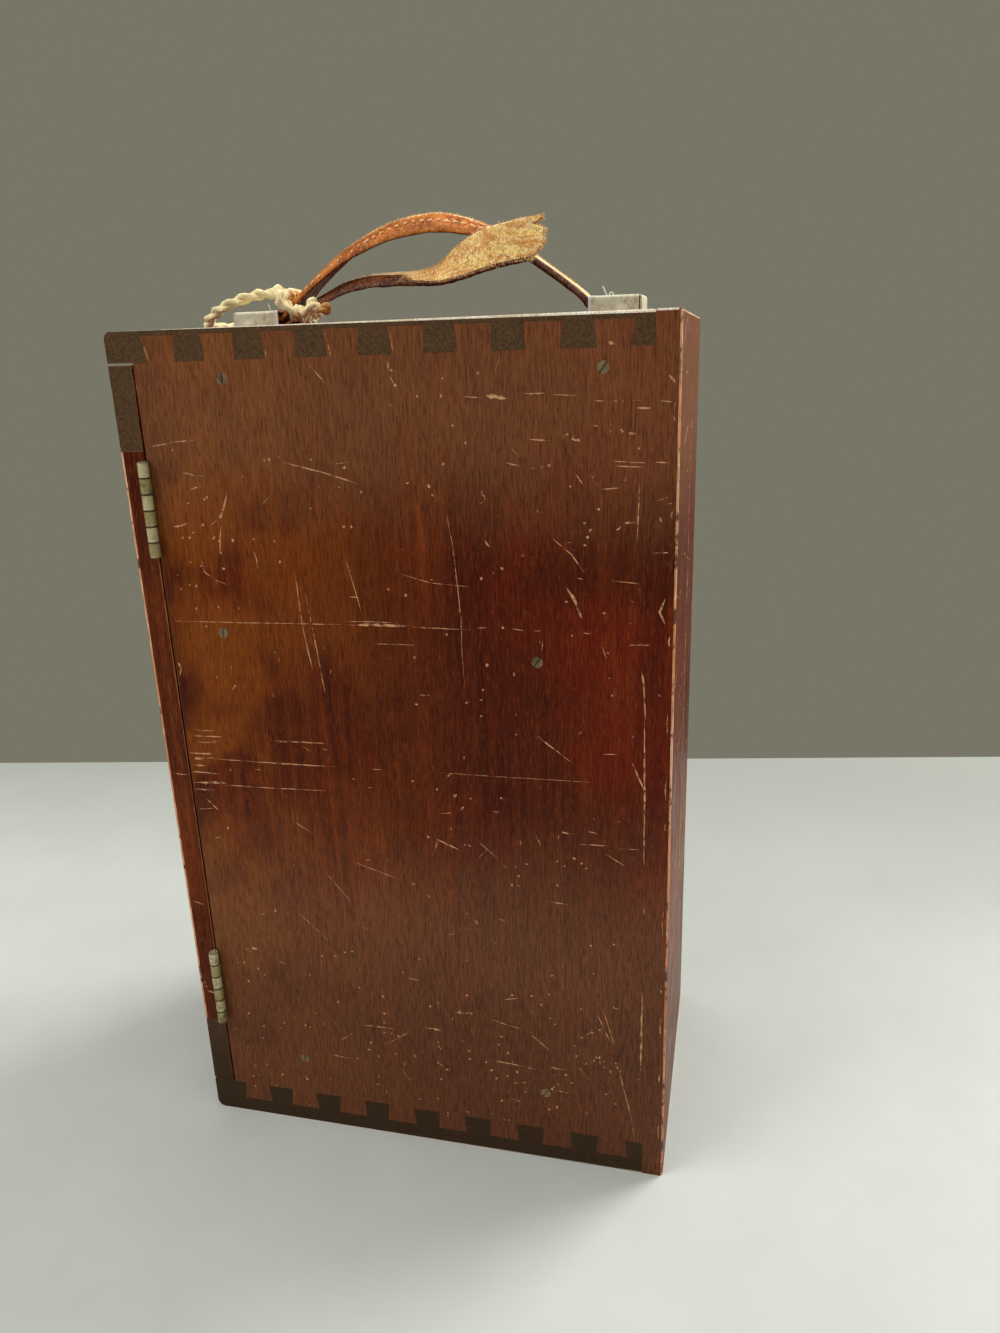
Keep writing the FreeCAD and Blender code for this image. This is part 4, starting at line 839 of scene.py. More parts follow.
def outer_wood(name, grain, shift, colours=STAINED, aged_and_sheen=False):
    """Stained and varnished wood of the outside, with fine scratches, knocks and grime, its end
    grain darker towards the bottom. For the hinge side and the back it also has a greyish haze of
    dust and painted sheen.
    """
    paint = Paint(name)
    colour, relief = grain_colours(
        paint, grain, shift, *colours, lambda colour: aged_and_sheen_colour(paint, colour, aged_and_sheen))
    across = end_grain_share(paint, grain)
    _, along, up = paint.parts(paint.place)
    if aged_and_sheen:
        height = paint.math("ADD", up, paint.times(along, TIPS_FALL))
        over_tails = paint.times(
            paint.ramp(height, TAIL_TIPS, TAIL_TIPS + 0.0001),
            paint.ramp(along, BACK_BOARD + 0.0002, BACK_BOARD))
        across = paint.math("MAXIMUM", across, over_tails)
    speckle = paint.patches(1500, 0.35, 0.7, detail=2)
    ends = paint.mix(speckle, END_GRAIN, darker(END_GRAIN, 0.5))
    ends = paint.mix(paint.patches(70, 0.45, 0.7, 0, 0.5, 4), ends, rgb(96, 66, 42))
    # End grain darker towards the bottom.
    ends = paint.mix(paint.ramp(up, 0.07, 0.02, 0, 0.7), ends, rgb(46, 32, 20))
    colour = paint.mix(across, colour, ends)
    fine = paint.cell_marks(95, 0.00014, 0.0028, 0.16)
    coarse = paint.cell_marks(38, 0.0002, 0.0065, 0.10)
    dents = paint.knocks(95, 0.035, 0.16)
    marks = paint.math("MAXIMUM", paint.math("MAXIMUM", fine, coarse), dents)
    marks = paint.times(marks, paint.patches(90, 0.35, 0.65, 0.1, 0.75))
    colour = paint.mix(marks, colour, RUBBED[1])
    dust = paint.patches(420, 0.56, 0.72, 0, 0.16, 5, 0.75)
    colour = paint.mix(dust, colour, rgb(156, 108, 70))
    roughness = paint.math(
        "ADD", paint.patches(55, 0.3, 0.7, 0.36, 0.54, 4),
        paint.times(paint.math("MAXIMUM", marks, across), 0.2))
    relief = paint.math("SUBTRACT", relief, paint.times(marks, 2.5))
    broad = paint.bump(paint.noise(70, 2), 0.12, 0.0006, paint.bump(relief, 0.4, 0.00012))
    return paint.finish(
        colour, roughness, broad, Coat_Weight=0.07, Coat_Roughness=0.25, Specular_IOR_Level=0.07)


def worn_and_highlit_wood(name, grain, shift, amount, bare=RUBBED):
    """An arris where the finish has come off here and there down to pale wood. With near-white
    colours the pale spots are a painted highlight instead; with peach ones, wear and painted
    highlight.
    """
    paint = Paint(name)
    stained, _ = grain_colours(paint, grain, shift, *STAINED)
    pale, _ = grain_colours(paint, grain, shift, *bare)
    rubbed_and_highlit = paint.noise(130, 5, 0.65)
    edge = 0.62 - 0.3 * amount
    colour = paint.mix(paint.ramp(rubbed_and_highlit, edge, edge + 0.1), stained, pale)
    return paint.finish(colour, 0.5, paint.bump(rubbed_and_highlit, 0.5, 0.0004))


def bare_wood(name, grain, shift, colours):
    """Plain oiled wood of the inside, with nothing on it but grain and grime."""
    paint = Paint(name)
    colour, relief = grain_colours(paint, grain, shift, *colours)
    across = paint.times(end_grain_share(paint, grain), 0.6)
    colour = paint.mix(across, colour, darker(colours[0], 0.7))
    grime = paint.patches(30, 0.5, 0.72, 0, 0.35, 5)
    colour = paint.mix(grime, colour, darker(colours[0], 0.6))
    return paint.finish(colour, 0.55, paint.bump(relief, 0.4, 0.00015), Specular_IOR_Level=0.3)


def scratch_wood(name):
    """The pale wood in a scratch, broken by what is left of the finish."""
    paint = Paint(name)
    broken = paint.patches(420, 0.38, 0.54, detail=4, roughness=0.6)
    fibre = paint.noise(detail=2, place=paint.stretched((1200, 1200, 60)))
    pale = paint.mix(fibre, rgb(176, 104, 56), rgb(238, 186, 134))
    colour = paint.mix(broken, rgb(104, 50, 18), pale)
    return paint.finish(colour, 0.6, paint.bump(fibre, 0.4, 0.0002))


# ---------------------------------------------------------------- meshes

FLAT = 0.4  # faces that turn by fewer degrees than this are one
# What a wooden piece's material numbers stand for. The last two are arrises with a painted
# highlight:
# # near-white on the last and on the top board's shown arrises, mixed with wear on the other shown
# ones.
WOOD, ARRIS, SCRATCH, SHOWN_ARRIS, BRIGHT_ARRIS = range(5)


def clean_copy(node):
    """The node's mesh as an editable copy, with its corners joined and flat faces whole."""
    mesh = bmesh.new()
    mesh.from_mesh(NODES[node].data)
    bmesh.ops.remove_doubles(mesh, verts=mesh.verts, dist=2e-6)
    bmesh.ops.dissolve_limit(
        mesh, angle_limit=math.radians(FLAT), verts=mesh.verts, edges=mesh.edges,
        use_dissolve_boundaries=False)
    for face in mesh.faces:
        face.material_index = WOOD
        face.smooth = False
    return mesh


SHARP = math.radians(50)
CHAMFERED = math.radians(35)  # enough to take in a chamfer's own edges
SLANTED = 0.93  # a face looks along no axis if no part of its direction is as large as this


def round_arrises(mesh, width, least, material=ARRIS, chosen=None, sharp=SHARP):
    """Rounds the outward edges that are at least so long. The new faces get the given material."""
    edges = [
        edge for edge in mesh.edges
        if edge.is_manifold and edge.calc_length() > least
        and edge.calc_face_angle_signed(0) > sharp
        and (chosen is None or chosen((edge.verts[0].co + edge.verts[1].co) / 2 / MM))
    ]
    if edges:
        bmesh.ops.bevel(
            mesh, geom=edges, offset=width * MM, offset_type="OFFSET", segments=3, profile=0.5,
            affect="EDGES", clamp_overlap=False, material=material)
    mesh.normal_update()


def stand_in(node, edited, materials, smooth=None):
    """A piece made from an edited copy of a node, in the node's place."""
    mesh = bpy.data.meshes.new(node + "_made")
    edited.normal_update()
    edited.to_mesh(mesh)
    edited.free()
    made_piece(node, mesh, materials, smooth)


# ---------------------------------------------------------------- marks in the wood

MARK_DEPTH = 0.1
MARK_MARGIN = 0.3  # how far a mark stays from the edge of its face
MARK_STEP = 2.2


def mark_outline(line, width, rng):
    """The left edge, middle and right edge of a mark, finely cut up, uneven, and thin at its
    ends."""
    points = []
    for start, end in zip(line, line[1:]):
        steps = max(2, int(math.dist(start, end) / MARK_STEP))
        points += [
            tuple(a + (b - a) * k / steps for a, b in zip(start, end)) for k in range(steps)]
    points.append(line[-1])
    rows = []
    for index, (y, z) in enumerate(points):
        before, after = points[max(index - 1, 0)], points[min(index + 1, len(points) - 1)]
        dy, dz = after[0] - before[0], after[1] - before[1]
        length = math.hypot(dy, dz) or 1
        share = index / (len(points) - 1)
        half = width / 2 * min(1, 0.12 + 4 * min(share, 1 - share)) * rng.uniform(0.45, 1.15)
        y, z = y + rng.uniform(-0.08, 0.08), z + rng.uniform(-0.08, 0.08)
        side = (-dz / length * half, dy / length * half)
        rows.append(((y + side[0], z + side[1]), (y, z), (y - side[0], z - side[1])))
    return rows


def sides(ring):
    """A ring's sides, each as its start and end."""
    return zip(ring, np.roll(ring, -1, axis=0))


def crossings(points, ring):
    """Which of the points lie inside a ring: an odd number of its sides are to their one side."""
    inside = np.zeros(len(points), bool)
    for start, end in sides(ring):
        run = end - start
        if run[1]:
            crosses = (start[1] > points[:, 1]) != (end[1] > points[:, 1])
            inside ^= crosses & (
                points[:, 0] < run[0] * (points[:, 1] - start[1]) / run[1] + start[0])
    return inside


def edge_distance(points, ring):
    """How far each of the points is from a ring's nearest side."""
    away = np.full(len(points), np.inf)
    for start, end in sides(ring):
        run = end - start
        share = np.clip((points - start) @ run / max(run @ run, 1e-20), 0, 1)
        away = np.minimum(away, np.linalg.norm(points - start - share[:, None] * run, axis=1))
    return away


def boundary_loops(faces):
    """The closed chains of vertices round a set of faces."""
    chosen = set(faces)
    onward = {
        loop.vert: loop.link_loop_next.vert for face in faces for loop in face.loops
        if not any(other is not face and other in chosen for other in loop.edge.link_faces)
    }
    loops = []
    while onward:
        start = next(iter(onward))
        chain = [start]
        vert = onward.pop(start)
        while vert is not start:
            chain.append(vert)
            vert = onward.pop(vert)
        loops.append(chain)
    return loops


def first_run(rows, good):
    """The first unbroken run of good rows that is more than two long, or nothing."""
    strip = []
    for row, fits in zip(rows, good):
        if fits:
            strip.append(row)
        elif len(strip) > 2:
            break
        else:
            strip = []
    return strip if len(strip) > 2 else []


def cut_marks(edited, axis, sign, marks, rng):
    """Cuts marks into a piece's outermost flat face that looks along an axis. Each mark is a line
    of places on the face, in mm, with its width."""
    normal_way = "xyz".index(axis)
    first_way, second_way = [way for way in range(3) if way != normal_way]
    level = max(vert.co[normal_way] * sign for vert in edited.verts)
    outer = [
        face for face in edited.faces
        if face.normal[normal_way] * sign > 0.999
        and abs(face.calc_center_median()[normal_way] * sign - level) < 1e-5
    ]
    corners, known, edges, loops = [], [], [], []
    for loop in boundary_loops(outer):
        first = len(corners)
        loops.append(np.array([(vert.co[first_way], vert.co[second_way]) for vert in loop]))
        corners += list(loops[-1])
        known += loop
        edges += [(first + k, first + (k + 1) % len(loop)) for k in range(len(loop))]
    sunk, outlines = {}, []
    for line, width in marks:
        rows = np.array(mark_outline(line, width, rng)) * MM
        places = rows.reshape(-1, 2)
        inside = np.logical_xor.reduce([crossings(places, loop) for loop in loops])
        away = np.min([edge_distance(places, loop) for loop in loops], axis=0)
        strip = first_run(rows, (inside & (away > MARK_MARGIN * MM)).reshape(-1, 3).all(axis=1))
        if not strip:
            continue
        start, end = len(corners), len(corners) + 3 * len(strip) - 3
        corners += [corner for row in strip for corner in row]
        for low in range(start + 3, end, 3):
            sunk[low + 1] = MARK_DEPTH * min(1.6, 0.5 + width) * MM
        for low in range(start, end, 3):
            edges += [(low + way, low + 3 + way) for way in range(3)]
        for low in (start, end):
            edges += [(low, low + 1), (low + 1, low + 2)]
        outlines.append(np.array([row[0] for row in strip] + [row[2] for row in strip[::-1]]))
    verts, _, triangles, vert_origins, _, _ = delaunay_2d_cdt(
        [Vector(corner) for corner in corners], edges, [], 0, 1e-7)
    flat = np.array([tuple(vert) for vert in verts])
    centres = np.array([flat[list(triangle)].mean(axis=0) for triangle in triangles])
    keep = np.logical_xor.reduce([crossings(centres, loop) for loop in loops])
    marked = np.zeros(len(centres), bool)
    for outline in outlines:
        close = np.flatnonzero(
            ((centres >= outline.min(axis=0)) & (centres <= outline.max(axis=0))).all(axis=1))
        marked[close] |= crossings(centres[close], outline)
    made = []
    for vert, origins in zip(verts, vert_origins):
        old = [known[i] for i in origins if i < len(known)]
        place = [0, 0, 0]
        place[first_way], place[second_way] = vert
        place[normal_way] = sign * (level - max((sunk.get(i, 0) for i in origins), default=0))
        made.append(old[0] if old else edited.verts.new(place))
    bmesh.ops.delete(edited, geom=outer, context="FACES_ONLY")
    for triangle, kept, in_mark in zip(triangles, keep, marked):
        if kept:
            face = edited.faces.new([made[i] for i in triangle])
            face.material_index = SCRATCH if in_mark else WOOD
    bmesh.ops.recalc_face_normals(edited, faces=edited.faces)
    edited.normal_update()


def stroke(middle, turn, half, bend=None):
    """A short mark's line: so far to each side of its middle, through the bend if it has one."""
    step = (math.cos(turn) * half, math.sin(turn) * half)
    ends = [tuple(place + way * part for place, part in zip(middle, step)) for way in (-1, 1)]
    return [ends[0], tuple(bend or middle), ends[1]]


def chance_marks(rng, low, high, lines, flecks):
    """Scratches and flecks strewn over a part of a face, many of them in groups."""
    marks = []
    centre = None
    for index in range(lines + flecks):
        if centre is None or rng.random() < 0.35:
            centre = [rng.uniform(a, b) for a, b in zip(low, high)]
        spot = [
            rng.gauss(middle, max(9, (b - a) * 0.1)) for middle, a, b in zip(centre, low, high)]
        if index < lines:
            turn = rng.choice([rng.uniform(-most, most) for most in (0.3, 0.3, 0.9)])
            half = rng.uniform(1.2, 5) * (3 if rng.random() < 0.12 else 1)
            width = rng.uniform(0.35, 0.8)
        else:
            turn, half, width = rng.uniform(0, 3.1), rng.uniform(0.35, 0.8), rng.uniform(0.5, 1.1)
        bend = [middle + rng.uniform(-0.12, 0.12) * half for middle in spot]
        marks.append((stroke(spot, turn, half, bend), width))
    return marks


# Marks on the hinge side, as the photo shows them: first each mark's width and the places along the
# case and up it that its line goes through, then plain short scratches by their two ends, then
# flecks. All in mm.
MARKS = [
    (0.56, -39.8, 311.3, -24, 307.4, -7.6, 302.3), (0.88, -64.2, 299.3, -67.9, 290.7, -73.2, 286.8),
    (0.64, -68.4, 286.8, -69.8, 281, -70.3, 276.1),
    (0.56, -79, 273.5, -78.4, 268.3, -74, 265, -69, 263.2),
    (0.48, -39.6, 270.6, -38.8, 263, -38.2, 248, -37, 238.5, -34.9, 224.7),
    (0.48, -35.6, 260.7, -34.2, 249, -32.7, 234.5, -30.7, 215),
    (0.32, -17.9, 276.1, -15, 264, -12.5, 252.9), (0.4, -55.9, 277.5, -54.9, 274, -54.6, 269.9),
    (0.4, -97.1, 247.3, -80, 247.6, -60.8, 247.7, -40, 248.1, -17.8, 248.3),
    (1.04, -17.8, 248.2, -6, 248.6, 6.9, 248.7), (0.4, -20, 249.6, -9, 249.9, 5, 249.6),
    (0.36, 6.9, 248.3, 31.3, 247.9), (0.4, 33.6, 248.8, 37.6, 249),
    (0.48, 46.9, 248.9, 51.9, 248.3), (0.48, 54.9, 248.4, 59.1, 248.5),
    (0.4, 74.2, 248.3, 76.8, 248), (0.8, 90.8, 244.1, 98.5, 244.5),
    (0.56, -80.3, 300.8, -74.9, 302.4), (1.2, 67.6, 265.9, 70.9, 261.1, 73.8, 253.6),
    (0.36, 22.5, 299, 25.4, 281.7, 26.6, 266.1, 27.5, 252.2, 27.2, 238.2, 27.8, 223.6),
    (0.48, 46.9, 310.4, 51.6, 309.3), (0.56, 84.8, 310.8, 96.8, 310), (0.4, 86.2, 309, 95.2, 308.6),
    (0.56, 71.7, 306.8, 74.9, 302.2), (0.48, 77, 306.7, 80.2, 301.2),
    (0.48, 94.1, 302.5, 94.2, 298.4, 93.7, 283.2), (0.4, 84.8, 268.2, 94.6, 267.3),
    (0.32, 4.2, 269.1, 16, 265.9, 32, 264.7), (0.72, 95.7, 236, 96.9, 227.1, 97.5, 215.2),
    (0.56, -85.2, 186.6, -59.1, 186.6, -28.9, 186.9),
    (0.48, -83.6, 174.5, -60.5, 174.9, -34.8, 175.5), (0.64, -93.8, 199.4, -83.5, 199.6),
    (0.32, -55.3, 196.4, -33.7, 197.3), (0.72, -91.3, 167.3, -86.2, 161.9),
    (0.36, -38.6, 136.3, -28.1, 123.1), (0.36, -24.2, 142.6, -4.4, 136.4),
    (0.4, -51.1, 159.7, -42.3, 154.7), (0.56, 12.3, 157.4, 22, 153.3),
    (0.56, 13.1, 156.6, 10.1, 148.8), (0.4, 29.1, 159, 38.5, 150.7), (0.4, 34, 154.4, 30.4, 150.4),
    (0.48, 15.1, 169.1, 19.8, 170), (0.56, 54.6, 162.7, 56.6, 158.4),
    (0.24, 10.2, 187.5, 40.6, 187.6, 80.4, 188), (0.64, 92.7, 197.3, 97.6, 186),
    (0.4, -44.7, 40, -34.3, 39.4), (0.4, -28.3, 59.2, -11.9, 59.5), (0.48, 50.3, 66, 59.9, 58.1),
    (0.48, 79.1, 81.1, 85.1, 66.8), (0.4, 88.5, 53.4, 91.6, 39.7, 94.8, 25.8),
    (0.48, 71.2, 52.1, 75.6, 46.4), (0.64, 78.5, 331.1, 81.9, 331), (0.64, 85, 330.9, 88.7, 330.9),
    (0.8, 92.8, 328.5, 97.9, 328.4), (0.48, 45.8, 347, 43.9, 341.5),
    (1.76, 40.4, 333.6, 43.8, 333.3, 47.6, 332.4), (0.72, -96.6, 188.5, -82.5, 189.1),
    (0.96, -96.6, 185.8, -85.2, 187.1), (1.28, -95, 183.1, -90, 183),
    (0.72, -96.6, 179.9, -83.8, 179.7), (1.12, -96.6, 174.7, -81, 175.7),
    (0.64, -96.6, 171.5, -86.8, 171.9), (0.64, -93.3, 196.7, -80.1, 197.1),
    (0.56, -91.8, 194, -83.3, 194.1), (0.8, 97.2, 215.2, 97.6, 186.5, 97.8, 153.7),
    (0.88, 97.9, 94.7, 97.8, 76.4, 97.7, 54.9), (0.8, -96.7, 231.7, -94.9, 227, -95.9, 223.5),
    (1.28, 38.1, 282.2, 39.5, 280),
    (0.36, 36.4, 299.4, 38.2, 298.9, 38.6, 296.6, 36.8, 296, 36.2, 298),
    (1.28, 83.2, 350.2, 85.2, 349.4), (0.4, -92, 357.2, -90.4, 349),
    (0.48, -67.2, 353.8, -66, 347.6), (0.4, -42.8, 356.8, -41.8, 348),
    (0.4, -18, 356.8, -16.6, 348), (0.4, 6.2, 356.4, 7, 349.3), (0.56, 4.6, 346.6, 5.1, 342.6),
    (0.56, 5.4, 341.2, 6.5, 338.4),
]
SCRATCHES = [
    (-18.5, 310.5, -13, 311), (-17.5, 259.5, -12.5, 259.5), (-49.5, 295.5, -46.5, 298.5),
    (-25.5, 346, -19, 338.5), (31.5, 333.5, 39, 333), (54, 334, 61.5, 334),
    (63.5, 333.5, 72.5, 333), (90.5, 331, 95, 331), (78, 323, 80, 322.5), (67.5, 319.5, 68, 319),
    (55.5, 318.5, 62.5, 318), (48.5, 316, 51.5, 312.5), (56, 308.5, 57.5, 308.5),
    (72, 309.5, 74, 309.5), (76.5, 309.5, 78.5, 309.5), (80.5, 301, 88, 301.5),
    (67.5, 282, 71, 282), (72, 269, 74.5, 268.5), (91, 261, 93, 260.5), (90.5, 252.5, 92.5, 252.5),
    (98, 315.5, 98.5, 314), (59, 246, 58.5, 240.5), (-71.5, 229, -71.5, 227.5),
    (-50, 234.5, -50, 231.5), (-30, 238.5, -29.5, 238), (-27.5, 230, -28, 227), (-9, 241, 9.5, 241),
    (9, 220.5, 13.5, 220.5), (-87, 195, -80.5, 194.5), (-74, 182, -72.5, 181),
    (-66.5, 183, -63.5, 183), (-58.5, 197, -33, 197), (-44, 195.5, -38.5, 192),
    (-35, 194.5, -31.5, 194), (-15, 187, -9, 187), (-16, 178.5, -13.5, 178.5),
    (-96, 162, -88.5, 163), (-90, 148.5, -87, 149), (-26.5, 161.5, -26.5, 161),
    (-19.5, 144.5, -17, 144.5), (-10, 147, -10, 143.5), (-65, 116, -64.5, 114),
    (-54.5, 115.5, -39.5, 101), (36.5, 172, 40, 172), (45.5, 148.5, 46, 147),
    (64, 164, 63.5, 161.5), (48, 160, 48.5, 157.5), (72.5, 160.5, 84.5, 161),
    (87.5, 160, 96, 160.5), (75.5, 166.5, 79.5, 166), (82.5, 164, 82.5, 162),
    (81, 243.5, 83, 238.5), (56, 206, 69, 196), (58.5, 133, 67.5, 132.5), (97.5, 137, 98.5, 131),
    (37.5, 122.5, 40.5, 121.5), (81.5, 200, 87.5, 200.5), (-73, 111.5, -70, 112),
    (-26, 112.5, -21.5, 110), (-87.5, 88, -87, 85.5), (-4.5, 87.5, 0.5, 87), (-41, 57.5, -41.5, 58),
    (-39.5, 48, -40, 46.5), (-39.5, 49, -32.5, 54.5), (-79.5, 21.5, -76, 24.5),
    (-10.5, 38, -8.5, 33.5), (-8, 33, -6, 32.5), (-19, 24.5, -19.5, 22), (27.5, 118.5, 29, 119.5),
    (15, 112, 19, 113), (22.5, 115.5, 25.5, 116), (65, 104.5, 64.5, 102), (64.5, 93.5, 65, 90.5),
    (74, 69.5, 77.5, 71.5), (76, 72.5, 77.5, 73), (81.5, 84, 86.5, 66), (86, 85, 88.5, 85),
    (7, 44, 9.5, 42.5), (41.5, 39, 44, 39), (39.5, 34, 38, 32), (54, 35, 58, 34),
    (94.5, 24.5, 95.5, 18.5), (75, 30, 74.5, 26.5),
]
FLECKS = [
    (-47, 312), (-45, 312), (-41, 313), (-28, 312), (-15, 309), (-57, 306), (-9, 300), (-73, 298),
    (-86, 282), (-83, 282), (-17, 287), (-14, 287), (-32, 303), (-26, 302), (-18, 302), (-45, 273),
    (-1, 263), (6, 261), (-90, 261), (-74, 254), (7, 338), (2, 338), (6, 343), (5, 331), (15, 334),
    (-30, 294), (-70, 276), (24, 334), (84, 321), (88, 321), (91, 320), (92, 320), (69, 320),
    (72, 318), (73, 318), (44, 272), (36, 268), (58, 293), (75, 289), (76, 284), (75, 281),
    (94, 315), (70, 302), (80, 294), (52, 277), (68, 260), (70, 247), (82, 256), (-72, 219),
    (-54, 217), (-78, 182), (-22, 182), (-83, 154), (9, 158), (-71, 112), (1, 135), (-7, 118),
    (8, 236), (37, 234), (93, 208), (85, 224), (84, 231), (35, 224), (14, 180), (28, 177),
    (24, 172), (78, 172), (88, 172), (44, 139), (63, 141), (63, 152), (66, 150), (73, 152),
    (75, 150), (70, 154), (28, 120), (-28, 79), (-17, 76), (-39, 70), (5, 74), (-17, 67), (-56, 59),
    (-51, 62), (-23, 60), (-8, 57), (7, 62), (-32, 40), (-26, 46), (0, 49), (-13, 46), (-58, 36),
    (-88, 37), (-79, 44), (-78, 51), (-85, 27), (-87, 21), (7, 44), (-23, 27), (-3, 22), (0, 23),
    (6, 24), (-85, 57), (23, 100), (86, 116), (51, 86), (17, 74), (19, 73), (24, 73), (15, 69),
    (37, 63), (42, 66), (61, 73), (22, 53), (8, 53), (11, 41), (40, 55), (34, 40), (46, 40),
    (47, 40), (60, 40), (83, 40), (82, 54), (31, 20), (35, 17), (37, 18), (39, 18), (10, 15),
    (70, 58), (92, 50),
]


def side_marks(rng):
    """All the marks on the hinge side, and the faintest that are too many to tell apart."""
    marks = [(list(zip(places[::2], places[1::2])), width) for width, *places in MARKS]
    marks += [((ends[:2], ends[2:]), rng.uniform(0.3, 0.52)) for ends in SCRATCHES]
    for fleck in FLECKS:
        line = stroke(fleck, rng.uniform(0, 3.1), rng.uniform(0.35, 0.8))
        marks.append((line, rng.uniform(0.6, 1.1)))
    for low, high, lines, flecks in (
            ((-94, 18), (94, 110), 12, 120), ((10, 110), (94, 345), 5, 55),
            ((-94, 140), (-60, 300), 3, 35)):
        marks += chance_marks(rng, low, high, lines, flecks)
    return marks


# ---------------------------------------------------------------- wooden pieces

# For each piece: its grain, how far its long arrises are rounded, how worn they are, and the faces
# that carry marks, each with the axis it looks along, a sign and how many scratches and flecks.
OUTER_PIECES = {
    "side_panel_lock_side": ("z", 0.3, 0.4, [("x", -1, 70, 110)]),
    "top_board": ("x", 0.6, 0.7, [("z", 1, 50, 70)]),
    "bottom_board": ("x", 0.8, 0.8, []),
    "back_panel": ("z", 0.1, 0.1, [("y", 1, 80, 110), ("x", 1, 16, 14), ("x", -1, 12, 12)]),
    "door_panel": ("z", 0.5, 0.9, [("y", -1, 44, 90), ("x", 1, 8, 10)]),
    "door_top_cleat": ("x", 0.5, 0.6, [("y", -1, 6, 16)]),
    "door_bottom_cleat": ("x", 0.5, 0.6, [("y", -1, 6, 16)]),
}
INNER_PIECES = {
    "foot_rail_hinge_side": "y", "foot_rail_lock_side": "y", "top_batten_hinge_side": "y",
    "top_batten_lock_side": "y", "accessory_rack": "y", "door_foot_stop": "x",
}
# Edges at least so long are rounded, in metres: long arrises, those of a joint, any but the least.
LONG_EDGE, JOINT_EDGE, ANY_EDGE = 0.03, 0.009, 0.005
# The back's near arris has chipped here and there: places up the case, and how long each chip is.
CHIPS = [
    (327, 6), (292, 3), (246, 4), (214, 8), (187, 9), (171, 3), (128, 12), (97, 4), (78, 10),
    (52, 5), (24, 9)]
# The back is two boards: the joint between them shows as a pale line down its middle.
OWN_MARKS = {
    ("back_panel", "y"): [
        ([(-10, 4), (-9.4, 60), (-10.2, 180), (-9.6, 290), (-10, 356)], 2.2),
        ([(22, 60), (21.4, 120), (23, 170)], 0.5), ([(-38, 210), (-37, 300)], 0.5)],
    ("back_panel", "x"): [
        ([(101.5, 291.5), (102, 289.5)], 0.8), ([(99.6, 310.3), (104.6, 310)], 0.8),
        ([(100.2, 330.6), (105, 330.2)], 0.7), ([(103.6, 339), (106, 336.4)], 1.2),
        ([(104, 262), (102, 257), (104.4, 252)], 1),
    ] + [([(105.9, z + size / 2), (105.5, z), (105.8, z - size / 2)], 0.5) for z, size in CHIPS],
}
SCRATCHED = scratch_wood("scratch_wood")
# The hinge side's and the back's wood, with a greyish haze of dust and painted sheen.
AGED_AND_SHEEN = outer_wood("aged_and_sheen_wood", "z", (0, 0, 0), SIDE_STAIN, aged_and_sheen=True)


def grain_shift(index):
    """A place in the grain pattern that is each piece's own."""
    return (0.37 * index, 0.61 * index, 0.23 * index)


def near_face(axis, level, sign=1):
    """A test of whether a place lies beyond a level along an axis."""
    return lambda middle: getattr(middle, axis) * sign > level * sign


def dress_outside(index, node, grain, arris, wear, marked):
    """An outside piece: long arrises rounded and worn, some of them with a painted highlight, joint
    edges eased, marks in its faces.
    """
    rng = random.Random(index)
    edited = clean_copy(node)
    low, high = (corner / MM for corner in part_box(node))
    back = node == "back_panel"
    if node == "top_board":
        # The top board's upper arrises take a near-white painted highlight.
        round_arrises(edited, 1.1, LONG_EDGE, SHOWN_ARRIS, near_face("z", high.z - 0.1))
    if back:
        # The back's near arrises are worn, with a painted highlight on them.
        round_arrises(
            edited, 0.55, LONG_EDGE, SHOWN_ARRIS, near_face("y", high.y - 1.6), CHAMFERED)
        # The back's top edges take a near-white painted highlight.
        round_arrises(edited, 0.7, ANY_EDGE, BRIGHT_ARRIS, near_face("z", high.z - 0.1))
    if node.startswith("door"):
        round_arrises(edited, 0.2, ANY_EDGE, WOOD, near_face("y", low.y + 2))
        # The door panel's outer arris is worn, with a painted highlight on it.
        outer = SHOWN_ARRIS if node == "door_panel" else WOOD
        round_arrises(edited, 0.9, LONG_EDGE, outer, near_face("x", high.x - 0.1))
    # Slanted faces count as arrises; on the back they take the wear with a painted highlight.
    for face in edited.faces:
        if face.material_index == WOOD and max(map(abs, face.normal)) < SLANTED:
            face.material_index = SHOWN_ARRIS if back else ARRIS
    round_arrises(edited, arris, LONG_EDGE)
    round_arrises(edited, 0.12, JOINT_EDGE, WOOD)
    for axis, sign, lines, flecks in marked:
        area = [[part for way, part in zip("xyz", corner) if way != axis] for corner in (low, high)]
        marks = chance_marks(rng, *area, lines, flecks) + OWN_MARKS.get((node, axis), [])
        cut_marks(edited, axis, sign, marks, rng)
    shift = grain_shift(index)
    # Arris finishes: a near-white painted highlight, and wear with a painted highlight on it.
    highlight_arris = worn_and_highlit_wood(node + "_painted_highlight_arris", grain, shift, 1.3, PAINTED_HIGHLIGHT)
    rubbed_and_highlit = worn_and_highlit_wood(node + "_rubbed_highlit_arris", grain, shift, 0.8, WORN_AND_HIGHLIT)
    stand_in(node, edited, [
        AGED_AND_SHEEN if back else outer_wood(node + "_wood", grain, shift),
        worn_and_highlit_wood(node + "_arris", grain, shift, wear), SCRATCHED,
        highlight_arris if node == "top_board" else rubbed_and_highlit, highlight_arris])


for index, (node, dressing) in enumerate(OUTER_PIECES.items(), start=2):
    dress_outside(index, node, *dressing)

for index, (node, grain) in enumerate(INNER_PIECES.items(), start=20):
    edited = clean_copy(node)
    round_arrises(edited, 0.6, JOINT_EDGE, WOOD)
    stand_in(node, edited, [bare_wood(node + "_wood", grain, grain_shift(index), FITTING)])

